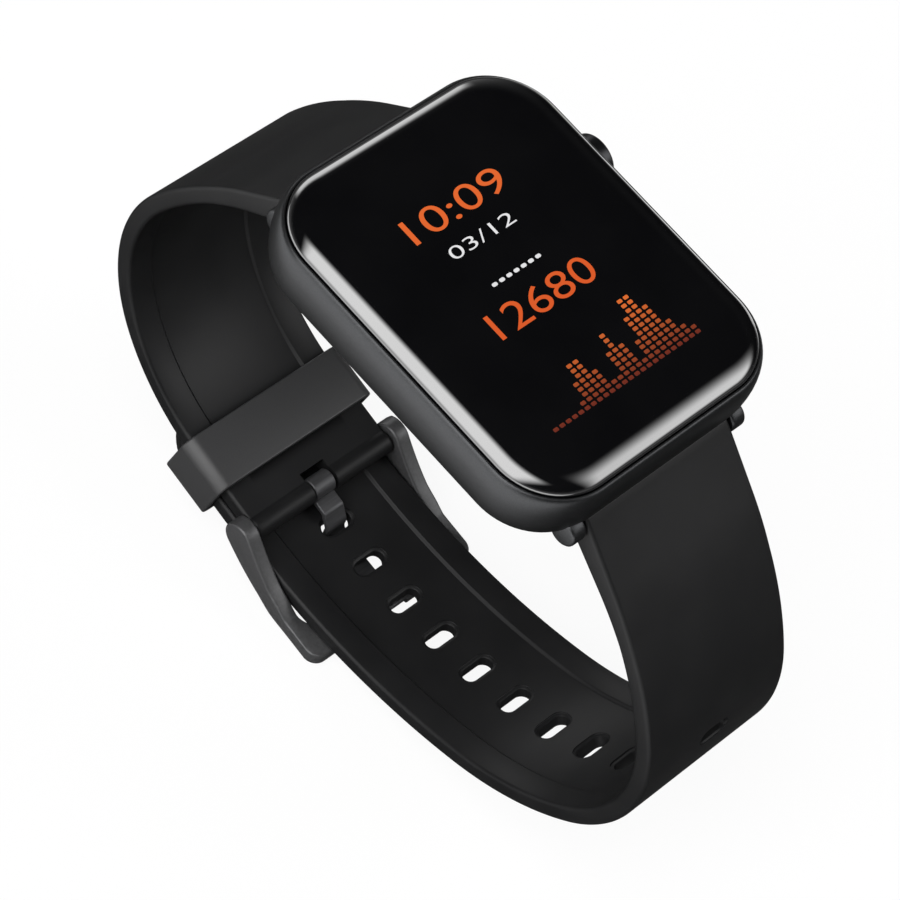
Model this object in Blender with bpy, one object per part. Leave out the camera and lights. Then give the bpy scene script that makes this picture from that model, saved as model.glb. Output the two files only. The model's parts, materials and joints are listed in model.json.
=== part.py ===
"""Square smartwatch on a fastened silicone strap, as an assembly of its separate pieces.

The frame has +Z out of the display, +Y to 12 o'clock and +X to 3 o'clock.
The origin is the centre of the case back, where the sensor window meets the wrist.
"""

import math

import bmesh
import bpy
from mathutils import Vector
from mathutils.geometry import interpolate_bezier

MM = 0.001
DEG = math.pi / 180

# Fits
FIT = 0.05 * MM
STRAP_PLAY = 0.25 * MM
CUT_OVER = 2.0 * MM

# Case
CASE_WIDTH = 35.2 * MM
CASE_LENGTH = 43.2 * MM
CASE_CORNER = 8.1 * MM
CASE_DEPTH = 7.4 * MM
CASE_WIDEST_DEPTH = 2.4 * MM
RIM_INSET = 0.45 * MM
BASE_INSET = 1.9 * MM
RIM_WIDTH = 0.35 * MM
CAVITY_WALL = 3.6 * MM
CAVITY_END_WALL = 5.0 * MM
CAVITY_CORNER = 3.9 * MM
WALL_STEPS = 5
CORNER_STEPS = 7

# Cover glass and display
GLASS_EDGE = 0.9 * MM
GLASS_LIP = 0.1 * MM
GLASS_RISE = 1.4 * MM
GLASS_BEVEL = 4.2 * MM
GLASS_STEPS = 6
ADHESIVE_THICKNESS = 0.15 * MM
ADHESIVE_WIDTH = 0.75 * MM
DISPLAY_THICKNESS = 1.1 * MM
DISPLAY_SEAT = 0.35 * MM

# Rear cover, seal and screws
COVER_THICKNESS = 0.9 * MM
COVER_SEAT = 0.85 * MM
COVER_DOME_INSET = 1.2 * MM
COVER_DOME_SLOPE = 2.6 * MM
COVER_DOME = 1.2 * MM
COVER_FLOOR = 0.9 * MM
COVER_POCKET_WALL = 1.1 * MM
GASKET_THICKNESS = 0.15 * MM
GASKET_WIDTH = 0.5 * MM
SCREW_INSET = 2.5 * MM
SCREW_HEAD_RADIUS = 0.9 * MM
SCREW_HEAD_HEIGHT = 0.45 * MM
SCREW_RADIUS = 0.5 * MM
SCREW_LENGTH = 2.4 * MM
SCREW_SLOT = 0.3 * MM
BOSS_RADIUS = 1.3 * MM

# Sensor and charging contacts
WINDOW_RADIUS = 6.0 * MM
WINDOW_PROUD = 0.3 * MM
WINDOW_FLANGE = 0.6 * MM
FLANGE_THICKNESS = 0.4 * MM
CHIP_HEIGHT = 0.35 * MM
CHIP_SIDE = 1.6 * MM
CHIP_PITCH = 3.0 * MM
SENSOR_BOARD_THICKNESS = 0.5 * MM
CONTACT_RADIUS = 1.0 * MM
CONTACT_FLANGE = 0.4 * MM
CONTACT_PITCH = 7.0 * MM

# Inside stack
STACK_GAP = 0.1 * MM
BOARD_GAP = 0.3 * MM
BOARD_THICKNESS = 0.7 * MM
BOARD_SIDE_GAP = 2.4 * MM
BOARD_END_GAP = 0.3 * MM
BOARD_CORNER = 2.0 * MM
SHIELD_SIDE_GAP = 4.1 * MM
SHIELD_END_GAP = 5.3 * MM
SHIELD_HEIGHT = 0.85 * MM
SHIELD_WALL = 0.2 * MM
BATTERY_GAP = 0.8 * MM
BATTERY_END_GAP = 3.9 * MM
BATTERY_CORNER = 1.2 * MM

# Vibration motor
MOTOR_Y = -7.0 * MM
MOTOR_RADIUS = 4.0 * MM
MOTOR_GAP = 0.6 * MM
MOTOR_WALL = 0.25 * MM
MOTOR_SHAFT_RADIUS = 0.4 * MM
ROTOR_GAP = 0.25 * MM
ROTOR_SECTOR = 170 * DEG

# Side button
BUTTON_Y = 7.9 * MM
BUTTON_DEPTH = 3.7 * MM
BUTTON_RADIUS = 2.7 * MM
BUTTON_PROUD = 1.5 * MM
BUTTON_TRAVEL = 0.45 * MM
BUTTON_SINK = 0.5 * MM
BUTTON_EDGE = 0.35 * MM
STEM_RADIUS = 0.85 * MM
STEM_REACH = 1.4 * MM
CLIP_RADIUS = 1.4 * MM
CLIP_THICKNESS = 0.25 * MM
CLIP_GROOVE = 0.25 * MM
CLIP_MOUTH_SHARE = 0.8
RING_SECTION = 0.28 * MM
SWITCH_DEPTH = 1.8 * MM
SWITCH_LENGTH = 3.4 * MM
SWITCH_HEIGHT = 1.2 * MM

# Lugs and spring bars
PIN_INSET = 1.0 * MM
PIN_DEPTH = 6.55 * MM
LUG_WIDTH = 2.4 * MM
LUG_RADIUS = 1.8 * MM
LUG_ROOT = 1.1 * MM
LUG_ROOT_RISE = 2.9 * MM
LUG_ROOT_DROP = 0.7 * MM
LUG_WRAP = 40 * DEG
TUBE_RADIUS = 0.75 * MM
TUBE_WALL = 0.2 * MM
TUBE_INSET = 1.2 * MM
TIP_RADIUS = 0.4 * MM
TIP_BITE = 0.9 * MM
TIP_TRAVEL = 1.1 * MM
TIP_SHAFT = 2.4 * MM
KNOB_RADIUS = 0.35 * MM
KNOB_LENGTH = 1.8 * MM
SPRING_TURNS = 8
SPRING_WIRE = 0.08 * MM

# Strap: each half leaves its spring bar straight, then bends along four arcs
STRAP_WIDTH = 20.0 * MM
STRAP_THICKNESS = 2.1 * MM
STRAP_LUG_THICKNESS = 3.0 * MM
STRAP_CLASP_THICKNESS = 2.8 * MM
LUG_TAPER = 14.0 * MM
CLASP_TAPER = 5.0 * MM
STRAP_EDGE = 0.45 * MM
CHANNEL_DEPTH = 0.35 * MM
CHANNEL_BORDER = 3.3 * MM
CHANNEL_START = 13.0 * MM
CLASP_SLOPE = 11 * DEG
SHORT_LEAVE = 40 * DEG
SHORT_STRAIGHT = 6.6 * MM
SHORT_SHOULDER_RADIUS = 40.0 * MM
SHORT_SHOULDER_ANGLE = 24 * DEG
SHORT_SIDE_RADIUS = 19.5 * MM
SHORT_SIDE_ANGLE = 64 * DEG
SHORT_TURN_RADIUS = 23.0 * MM
SHORT_TURN_ANGLE = 36 * DEG
SHORT_BOTTOM_RADIUS = 30.0 * MM
SHORT_CLASP_RUN = 8.7 * MM
LONG_LEAVE = 38 * DEG
LONG_SHOULDER_RADIUS = 40.0 * MM
LONG_SHOULDER_ANGLE = 26 * DEG
LONG_SIDE_RADIUS = 18.6 * MM
LONG_SIDE_ANGLE = 68 * DEG
LONG_TURN_RADIUS = 32.0 * MM
LONG_TURN_ANGLE = 29 * DEG
LONG_BOTTOM_RADIUS = 66.0 * MM
LONG_TAIL = 14.6 * MM
TAIL_CORNER = 6.0 * MM
ARC_STEP = 6 * DEG

# Strap slots
SLOT_WIDTH = 3.9 * MM
SLOT_LENGTH = 1.8 * MM
SLOT_PITCH = 5.7 * MM
SLOTS_TO_LUG = 11

# Buckle
BAR_RADIUS = 0.7 * MM
ARM_THICKNESS = 1.5 * MM
ARM_PLAY = 0.45 * MM
ARM_HEEL = 2.0 * MM
ARM_HEIGHT = 2.5 * MM
ARM_KNEE = 6.1 * MM
HEEL_SHARE = 0.4
TOE_SHARE = 0.4
BUCKLE_REACH = 13.6 * MM
FRONT_THICKNESS = 1.7 * MM
FRONT_LENGTH = 3.2 * MM
FRONT_CHAMFER = 0.3 * MM
TONGUE_REACH = 4.4 * MM
TONGUE_WIDTH = 2.8 * MM
TONGUE_THICKNESS = 0.8 * MM
TONGUE_PLAY = 0.3 * MM
BARREL_WALL = 0.5 * MM
TONGUE_SLOT_BACK = 2.6 * MM
PATH_STEPS = 8

# Keeper
KEEPER_LENGTH = 6.6 * MM
KEEPER_WALL = 0.9 * MM
KEEPER_SIDE_PLAY = 0.4 * MM
KEEPER_PLAY = 0.45 * MM
KEEPER_FROM_BAR = 8.2 * MM
KEEPER_CORNER = 1.0 * MM

# Round pieces
ROUND_STEPS = 24
PIN_STEPS = 16
END_STEPS = 8
SHARP_ANGLE = 35 * DEG
EDGE_ANGLE = 60 * DEG

# Heights and places that follow from the sizes above
SEAM_Z = CASE_DEPTH + COVER_DOME + WINDOW_PROUD
BASE_Z = SEAM_Z - CASE_DEPTH
PIN_Z = SEAM_Z - PIN_DEPTH
GLASS_BOTTOM = SEAM_Z - GLASS_EDGE
LEDGE_Z = GLASS_BOTTOM - ADHESIVE_THICKNESS - 2 * FIT
DISPLAY_TOP = GLASS_BOTTOM - FIT
DISPLAY_BOTTOM = DISPLAY_TOP - DISPLAY_THICKNESS
POCKET_Z = DISPLAY_BOTTOM - FIT
COVER_TOP = BASE_Z + COVER_THICKNESS
SEAT_Z = COVER_TOP + GASKET_THICKNESS + 2 * FIT
BOARD_TOP = DISPLAY_BOTTOM - BOARD_GAP
BOARD_BOTTOM = BOARD_TOP - BOARD_THICKNESS
FLOOR_Z = WINDOW_PROUD + COVER_FLOOR
FLANGE_TOP = FLOOR_Z + FIT + FLANGE_THICKNESS
CHIP_BOTTOM = FLANGE_TOP + FIT
SENSOR_BOTTOM = CHIP_BOTTOM + CHIP_HEIGHT + FIT
SENSOR_TOP = SENSOR_BOTTOM + SENSOR_BOARD_THICKNESS
BATTERY_BOTTOM = SENSOR_TOP + STACK_GAP
BATTERY_THICKNESS = BOARD_BOTTOM - FIT - SHIELD_HEIGHT - STACK_GAP - BATTERY_BOTTOM
MOTOR_HEIGHT = BATTERY_THICKNESS
BUTTON_Z = SEAM_Z - BUTTON_DEPTH
LUG_GAP = STRAP_WIDTH / 2 + STRAP_PLAY
CAVITY_X = CASE_WIDTH / 2 - CAVITY_WALL
CAVITY_Y = CASE_LENGTH / 2 - CAVITY_END_WALL
PIN_Y = CASE_LENGTH / 2 - PIN_INSET
BOARD_X = CAVITY_X - BOARD_SIDE_GAP
BOARD_Y = CAVITY_Y - BOARD_END_GAP
MOTOR_X = CAVITY_X - MOTOR_GAP - MOTOR_RADIUS
BATTERY_LEFT = BATTERY_GAP - CAVITY_X
BATTERY_RIGHT = MOTOR_X - MOTOR_RADIUS - MOTOR_GAP


# Blender helpers
def clear_scene():
    for thing in list(bpy.data.objects):
        bpy.data.objects.remove(thing, do_unlink=True)


def finish(name, colour, roughness, metallic=0.0):
    """A plain finish for one piece."""
    look = bpy.data.materials.new(name)
    look.use_nodes = True
    shader = look.node_tree.nodes["Principled BSDF"]
    shader.inputs["Base Color"].default_value = (*colour, 1.0)
    shader.inputs["Roughness"].default_value = roughness
    shader.inputs["Metallic"].default_value = metallic
    return look


def add_object(name, mesh, look, place=(0, 0, 0)):
    thing = bpy.data.objects.new(name, mesh)
    bpy.context.scene.collection.objects.link(thing)
    thing.location = place
    if look is None:
        thing.hide_render = True
        thing.display_type = "WIRE"
    else:
        mesh.materials.append(look)
    return thing


def mesh_from(name, bm):
    """Close the bmesh into a mesh with its faces out and its round sides smooth."""
    bmesh.ops.recalc_face_normals(bm, faces=bm.faces)
    mesh = bpy.data.meshes.new(name)
    bm.to_mesh(mesh)
    bm.free()
    mesh.shade_smooth()
    mesh.set_sharp_from_angle(angle=SHARP_ANGLE)
    return mesh


def add_loft(bm, rings):
    """Skin a row of point rings of equal count into one closed body."""
    rows = [[bm.verts.new(point) for point in ring] for ring in rings]
    for low, high in zip(rows, rows[1:]):
        for i in range(len(low)):
            j = (i + 1) % len(low)
            bm.faces.new((low[i], low[j], high[j], high[i]))
    bm.faces.new(reversed(rows[0]))
    bm.faces.new(rows[-1])


def loft(name, rings, look, place=(0, 0, 0)):
    bm = bmesh.new()
    add_loft(bm, rings)
    return add_object(name, mesh_from(name, bm), look, place)


def lofts(name, ring_rows, look, place=(0, 0, 0)):
    """Several closed bodies in one mesh, for a cutter or an addition."""
    bm = bmesh.new()
    for rings in ring_rows:
        add_loft(bm, rings)
    return add_object(name, mesh_from(name, bm), look, place)


def rounded(half_x, half_y, corner, z, x=0.0, y=0.0, steps=CORNER_STEPS):
    """One ring: a rectangle with round corners at height z."""
    ring = []
    for turn, sx, sy in ((0, 1, 1), (1, -1, 1), (2, -1, -1), (3, 1, -1)):
        for k in range(steps + 1):
            angle = (turn + k / steps) * math.pi / 2
            px = x + sx * (half_x - corner) + corner * math.cos(angle)
            py = y + sy * (half_y - corner) + corner * math.sin(angle)
            ring.append((px, py, z))
    return ring


def disc(radius, z, x=0.0, y=0.0, steps=ROUND_STEPS):
    """One ring: a circle at height z."""
    turns = [2 * math.pi * k / steps for k in range(steps)]
    return [(x + radius * math.cos(a), y + radius * math.sin(a), z) for a in turns]


def along_x(radius, x, y=0.0, z=0.0, steps=PIN_STEPS):
    """One ring: a circle square to X."""
    turns = [2 * math.pi * k / steps for k in range(steps)]
    return [(x, y + radius * math.cos(a), z + radius * math.sin(a)) for a in turns]


def turned_x(profile, y=0.0, z=0.0, steps=PIN_STEPS):
    """Rings of a piece turned about X, from (x, radius) pairs."""
    return [along_x(radius, x, y, z, steps) for x, radius in profile]


def prism(outline, x_low, x_high):
    """Rings of a side outline, given as (y, z) points, carried across X."""
    return [[(x, y, z) for y, z in outline] for x in (x_low, x_high)]


def box(low, high):
    corners = ((low[0], low[1]), (high[0], low[1]), (high[0], high[1]), (low[0], high[1]))
    return [[(x, y, z) for x, y in corners] for z in (low[2], high[2])]


def combine(thing, other, operation):
    step = thing.modifiers.new(other.name, "BOOLEAN")
    step.operation = operation
    step.solver = "EXACT"
    step.object = other


def cut(thing, name, ring_rows, place=None):
    """Take the cutter bodies away from a piece."""
    spot = thing.location if place is None else place
    combine(thing, lofts(name, ring_rows, None, spot), "DIFFERENCE")


def add(thing, name, ring_rows):
    """Weld the bodies one after another onto a piece."""
    for k, rings in enumerate(ring_rows):
        combine(thing, lofts(f"{name}_{k}", [rings], None, thing.location), "UNION")


def corners(x, y):
    return [(sx * x, sy * y) for sx in (-1, 1) for sy in (-1, 1)]


# Strap path
class StrapPath:
    """One strap half seen from the side, as straight runs and arcs from its spring bar."""

    def __init__(self, side, leave, runs):
        self.side = side
        self.leave = leave
        self.runs = runs

    def length(self):
        return sum(self.run_length(run) for run in self.runs)

    @staticmethod
    def run_length(run):
        radius, amount = run
        return radius * amount if radius else amount

    def at(self, distance):
        """Point, direction and outward normal in (y, z) at a distance along the middle."""
        u, z, angle = PIN_Y, PIN_Z, self.leave
        last = len(self.runs) - 1
        for k, run in enumerate(self.runs):
            radius = run[0]
            part = distance if k == last else min(distance, self.run_length(run))
            if radius:
                after = angle + part / radius
                u += radius * (math.sin(after) - math.sin(angle))
                z += radius * (math.cos(after) - math.cos(angle))
                angle = after
            else:
                u += part * math.cos(angle)
                z -= part * math.sin(angle)
            distance -= part
            if distance <= 0:
                break
        point = Vector((self.side * u, z))
        along = Vector((self.side * math.cos(angle), -math.sin(angle)))
        outward = Vector((self.side * math.sin(angle), math.cos(angle)))
        return point, along, outward

    def stations(self, start, end, marks=()):
        """Distances that follow the arcs closely enough, between start and end."""
        found = {start, end}
        walked = 0.0
        for run in self.runs:
            span = self.run_length(run)
            count = max(1, math.ceil(run[1] / ARC_STEP)) if run[0] else 1
            found.update(walked + span * k / count for k in range(count + 1))
            walked += span
        found.update(marks)
        inside = sorted(s for s in found if start <= s <= end)
        kept = inside[:1]
        for s in inside[1:]:
            if s - kept[-1] > FIT:
                kept.append(s)
        return kept


def short_path():
    turned = SHORT_LEAVE + SHORT_SHOULDER_ANGLE + SHORT_SIDE_ANGLE + SHORT_TURN_ANGLE
    runs = [
        (0, SHORT_STRAIGHT),
        (SHORT_SHOULDER_RADIUS, SHORT_SHOULDER_ANGLE),
        (SHORT_SIDE_RADIUS, SHORT_SIDE_ANGLE),
        (SHORT_TURN_RADIUS, SHORT_TURN_ANGLE),
        (SHORT_BOTTOM_RADIUS, math.pi - CLASP_SLOPE - turned),
        (0, SHORT_CLASP_RUN),
    ]
    return StrapPath(1, SHORT_LEAVE, runs)


def long_path(bar):
    """The straight run at the lug is as long as brings the tail under the buckle bar."""
    turned = LONG_LEAVE + LONG_SHOULDER_ANGLE + LONG_SIDE_ANGLE + LONG_TURN_ANGLE
    arcs = [
        (LONG_SHOULDER_RADIUS, LONG_SHOULDER_ANGLE),
        (LONG_SIDE_RADIUS, LONG_SIDE_ANGLE),
        (LONG_TURN_RADIUS, LONG_TURN_ANGLE),
        (LONG_BOTTOM_RADIUS, math.pi + CLASP_SLOPE - turned),
        (0, LONG_TAIL),
    ]
    bare = StrapPath(-1, LONG_LEAVE, [(0, 0.0)] + arcs)
    end, _, outward = bare.at(bare.length())
    stack = (STRAP_CLASP_THICKNESS + STRAP_THICKNESS) / 2 + STRAP_PLAY
    miss = stack - (end - bar).dot(outward)
    leave = bare.at(0)[1]
    return StrapPath(-1, LONG_LEAVE, [(0, miss / leave.dot(outward))] + arcs)


def half_thickness(distance, length, clasp_thickness):
    """Half the strap's thickness: full at the lug, thin along the loop, full at a clasp end."""
    lug = max(0.0, 1 - distance / LUG_TAPER) * (STRAP_LUG_THICKNESS - STRAP_THICKNESS)
    clasp = max(0.0, 1 - (length - distance) / CLASP_TAPER) * (clasp_thickness - STRAP_THICKNESS)
    return (STRAP_THICKNESS + max(lug, clasp)) / 2


def round_end(point, along, outward, radius, sign):
    """Half circle round a strap end, from its outer side to its inner side."""
    turns = [math.pi * k / END_STEPS for k in range(1, END_STEPS)]
    return [point + radius * (outward * math.cos(a) + sign * along * math.sin(a)) for a in turns]


def strap_outline(path, clasp_thickness, closed_end):
    """Side outline of a strap half, round about the spring bar and, if asked, the buckle bar."""
    length = path.length()
    marks = (LUG_TAPER, length - CLASP_TAPER)
    stations = path.stations(0.0, length, marks)
    outer, inner = [], []
    for s in stations:
        point, _, outward = path.at(s)
        half = half_thickness(s, length, clasp_thickness)
        outer.append(point + outward * half)
        inner.append(point - outward * half)
    start = round_end(*path.at(0.0), STRAP_LUG_THICKNESS / 2, -1)
    end = round_end(*path.at(length), clasp_thickness / 2, 1) if closed_end else []
    return outer + end + inner[::-1] + start[::-1]


def strap_body(name, path, clasp_thickness, closed_end, look):
    pin = Vector((0, path.side * PIN_Y, PIN_Z))
    outline = [p - pin.yz for p in strap_outline(path, clasp_thickness, closed_end)]
    half = STRAP_WIDTH / 2
    strap = loft(name, prism(outline, -half, half), look, pin)
    edge = strap.modifiers.new("soft_edges", "BEVEL")
    edge.width = STRAP_EDGE
    edge.segments = 2
    edge.limit_method = "ANGLE"
    edge.angle_limit = EDGE_ANGLE
    edge.use_clamp_overlap = False
    return strap


def cut_channel(strap, path, clasp_thickness, stop):
    """Shallow channel down the middle of the strap's inner face."""
    length = path.length()
    stations = path.stations(CHANNEL_START, stop, (LUG_TAPER, length - CLASP_TAPER))
    deep, clear = [], []
    for s in stations:
        point, _, outward = path.at(s)
        half = half_thickness(s, length, clasp_thickness)
        deep.append(point - outward * (half - CHANNEL_DEPTH))
        clear.append(point - outward * (half + CUT_OVER))
    outline = deep + clear[::-1]
    half_width = STRAP_WIDTH / 2 - CHANNEL_BORDER
    cut(strap, strap.name + "_channel", [prism(outline, -half_width, half_width)], (0, 0, 0))


def cut_bar_holes(strap, path):
    """Bore for the spring bar, and the notch that its release knob slides in."""
    half = STRAP_WIDTH / 2 + CUT_OVER
    bore = turned_x([(-half, TUBE_RADIUS + FIT), (half, TUBE_RADIUS + FIT)])
    cut(strap, strap.name + "_bore", [bore])
    _, along, outward = path.at(0.0)
    wide = KNOB_RADIUS + STRAP_PLAY
    side = [along * wide, along * -wide, along * -wide - outward * 2 * KNOB_LENGTH]
    side.append(along * wide - outward * 2 * KNOB_LENGTH)
    knob = KNOB_X
    cut(strap, strap.name + "_notch", [prism(side, knob - wide, knob + TIP_TRAVEL + wide)])


# Spring bars
TUBE_HALF = STRAP_WIDTH / 2 - TUBE_INSET
TUBE_BORE = TUBE_RADIUS - TUBE_WALL
SHAFT_RADIUS = TUBE_BORE - FIT
TIP_INNER = TUBE_HALF - TIP_SHAFT
KNOB_X = -(TUBE_HALF - TIP_SHAFT / 2)


def spring_bar(clock, path, steel, spring_steel):
    """Telescopic bar: a tube, two sprung tips in the lugs, and a release knob on one tip."""
    pin = Vector((0, path.side * PIN_Y, PIN_Z))
    tube = loft(
        f"spring_bar_tube_{clock}",
        turned_x([(-TUBE_HALF, TUBE_RADIUS), (TUBE_HALF, TUBE_RADIUS)]),
        steel,
        pin,
    )
    over = TUBE_HALF + CUT_OVER
    cut(tube, tube.name + "_bore", [turned_x([(-over, TUBE_BORE), (over, TUBE_BORE)])])
    _, along, outward = path.at(0.0)
    wide = KNOB_RADIUS + FIT
    side = [along * wide, along * -wide, (-along * wide) - outward * 2 * TUBE_RADIUS]
    side.append(along * wide - outward * 2 * TUBE_RADIUS)
    cut(tube, tube.name + "_slot", [prism(side, KNOB_X - wide, KNOB_X + TIP_TRAVEL + wide)])
    nose = LUG_GAP + TIP_BITE - 2 * FIT
    for hand, sign in (("left", -1), ("right", 1)):
        profile = [
            (sign * TIP_INNER, SHAFT_RADIUS),
            (sign * TUBE_HALF, SHAFT_RADIUS),
            (sign * TUBE_HALF, TIP_RADIUS),
            (sign * nose, TIP_RADIUS),
        ]
        tip = loft(f"spring_bar_tip_{clock}_{hand}", turned_x(profile), steel, pin)
        if sign < 0:
            to_knob = (-outward).to_3d().zxy
            turn = Vector((0, 0, 1)).rotation_difference(to_knob).to_matrix()
            rings = [disc(KNOB_RADIUS, z, steps=END_STEPS) for z in (0.0, KNOB_LENGTH)]
            knob = [[turn @ Vector(p) + Vector((KNOB_X, 0, 0)) for p in ring] for ring in rings]
            add(tip, tip.name + "_knob", [knob])
    coil = bpy.data.curves.new(f"spring_bar_spring_{clock}", "CURVE")
    coil.dimensions = "3D"
    coil.bevel_depth = SPRING_WIRE
    coil.bevel_resolution = 0
    coil.use_fill_caps = True
    line = coil.splines.new("POLY")
    count = SPRING_TURNS * 8
    line.points.add(count)
    reach = TIP_INNER - FIT - SPRING_WIRE
    radius = TUBE_BORE - SPRING_WIRE - FIT
    for k in range(count + 1):
        angle = 2 * math.pi * SPRING_TURNS * k / count
        x = -reach + 2 * reach * k / count
        line.points[k].co = (x, radius * math.cos(angle), radius * math.sin(angle), 1)
    coil.materials.append(spring_steel)
    spring = bpy.data.objects.new(f"spring_bar_spring_{clock}", coil)
    bpy.context.scene.collection.objects.link(spring)
    spring.location = pin


# Case
def case_ring(inset, z):
    return rounded(CASE_WIDTH / 2 - inset, CASE_LENGTH / 2 - inset, CASE_CORNER - inset, z)


def inner_ring(inset, z):
    """A ring inset from the glass opening, whose outline the seam shows."""
    start = RIM_INSET + RIM_WIDTH + inset
    return rounded(CASE_WIDTH / 2 - start, CASE_LENGTH / 2 - start, CASE_CORNER - start, z)


def screw_places():
    return corners(CAVITY_X - SCREW_INSET / math.sqrt(2), CAVITY_Y - SCREW_INSET / math.sqrt(2))


def cover_ring(inset, z):
    side = CAVITY_X + COVER_SEAT - inset
    end = CAVITY_Y + COVER_SEAT - inset
    return rounded(side, end, max(CAVITY_CORNER + COVER_SEAT - inset, STEM_RADIUS), z)


def make_case():
    look = finish("anodised_case", (0.028, 0.029, 0.031), 0.42, 0.6)
    widest = SEAM_Z - CASE_WIDEST_DEPTH
    angles = [math.pi / 2 * k / WALL_STEPS for k in range(WALL_STEPS + 1)]
    lower = [
        case_ring(
            BASE_INSET * (1 - math.cos(a)),
            widest - (CASE_DEPTH - CASE_WIDEST_DEPTH) * math.sin(a),
        )
        for a in reversed(angles)
    ]
    upper = [
        case_ring(RIM_INSET * (1 - math.cos(a)), widest + CASE_WIDEST_DEPTH * math.sin(a))
        for a in angles[1:]
    ]
    case = loft("case_frame", lower + upper, look)

    lugs = []
    for side in (-1, 1):
        outline = lug_outline(side)
        for sign in (-1, 1):
            spans = sorted((sign * LUG_GAP, sign * (LUG_GAP + LUG_WIDTH)))
            lugs.append(prism(outline, *spans))
    add(case, "lug", lugs)

    void = [
        cover_ring(0, BASE_Z - CUT_OVER),
        cover_ring(0, SEAT_Z),
        rounded(CAVITY_X, CAVITY_Y, CAVITY_CORNER, SEAT_Z),
        rounded(CAVITY_X, CAVITY_Y, CAVITY_CORNER, POCKET_Z),
        inner_ring(ADHESIVE_WIDTH + DISPLAY_SEAT, POCKET_Z),
        inner_ring(ADHESIVE_WIDTH + DISPLAY_SEAT, LEDGE_Z),
        inner_ring(0, LEDGE_Z),
        inner_ring(0, SEAM_Z + CUT_OVER),
    ]
    cut(case, "case_void", [void])
    boss_top = BOARD_BOTTOM - FIT
    add(case, "boss", [[disc(BOSS_RADIUS, z, x, y, PIN_STEPS) for z in (SEAT_Z, boss_top)]
                       for x, y in screw_places()])
    hole_top = COVER_TOP - SCREW_HEAD_HEIGHT + SCREW_LENGTH + FIT
    cut(case, "screw_hole", [[disc(SCREW_RADIUS + FIT, z, x, y, PIN_STEPS)
                              for z in (BASE_Z - CUT_OVER, hole_top)] for x, y in screw_places()])
    cut(case, "button_bore", [turned_x(
        [
            (CAVITY_X - CUT_OVER, STEM_RADIUS + FIT),
            (ring_x() - RING_SECTION - FIT, STEM_RADIUS + FIT),
            (ring_x() - RING_SECTION - FIT, ring_radius() + RING_SECTION + FIT),
            (button_floor(), ring_radius() + RING_SECTION + FIT),
            (button_floor(), BUTTON_RADIUS + FIT),
            (CASE_WIDTH / 2 + CUT_OVER, BUTTON_RADIUS + FIT),
        ],
        BUTTON_Y, BUTTON_Z, ROUND_STEPS)])
    notch = STRAP_LUG_THICKNESS / 2 + STRAP_PLAY
    bite = LUG_GAP + TIP_BITE
    for side in (-1, 1):
        y = side * PIN_Y
        cut(case, f"strap_notch_{side}", [turned_x([(-LUG_GAP, notch), (LUG_GAP, notch)], y, PIN_Z)])
        hole = TIP_RADIUS + FIT
        cut(case, f"tip_hole_{side}", [turned_x([(-bite, hole), (bite, hole)], y, PIN_Z)])


def lug_outline(side):
    """Side outline of a lug: round about the spring bar, and rooted in the case wall."""
    root_y = CAVITY_Y + LUG_ROOT
    sweep = math.pi + 2 * LUG_WRAP
    points = []
    for k in range(END_STEPS + 1):
        angle = sweep * (k / END_STEPS - 0.5)
        points.append((PIN_Y + LUG_RADIUS * math.cos(angle), PIN_Z + LUG_RADIUS * math.sin(angle)))
    points.append((root_y, PIN_Z + LUG_ROOT_RISE))
    points.append((root_y, PIN_Z - LUG_ROOT_DROP))
    return [(side * y, z) for y, z in points]


# Glass and display
def make_glass():
    look = finish("black_glass", (0.004, 0.004, 0.005), 0.05)
    angles = [math.pi / 2 * k / GLASS_STEPS for k in range(GLASS_STEPS + 1)]
    rings = [inner_ring(2 * FIT, GLASS_BOTTOM)]
    for a in angles:
        inset = 2 * FIT + GLASS_BEVEL * (1 - math.cos(a))
        rings.append(inner_ring(inset, SEAM_Z + GLASS_LIP + GLASS_RISE * math.sin(a)))
    loft("cover_glass", rings, look)

    adhesive = finish("adhesive", (0.02, 0.02, 0.02), 0.7)
    low = LEDGE_Z + FIT
    span = (low, low + ADHESIVE_THICKNESS)
    ring = loft("glass_adhesive", [inner_ring(2 * FIT, z) for z in span], adhesive)
    span = (low - CUT_OVER, low + CUT_OVER)
    cut(ring, "adhesive_opening", [[inner_ring(ADHESIVE_WIDTH, z) for z in span]])

    panel = finish("display_panel", (0.01, 0.01, 0.012), 0.25)
    inset = ADHESIVE_WIDTH + DISPLAY_SEAT + 2 * FIT
    loft("display_panel", [inner_ring(inset, z) for z in (DISPLAY_BOTTOM, DISPLAY_TOP)], panel)


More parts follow.
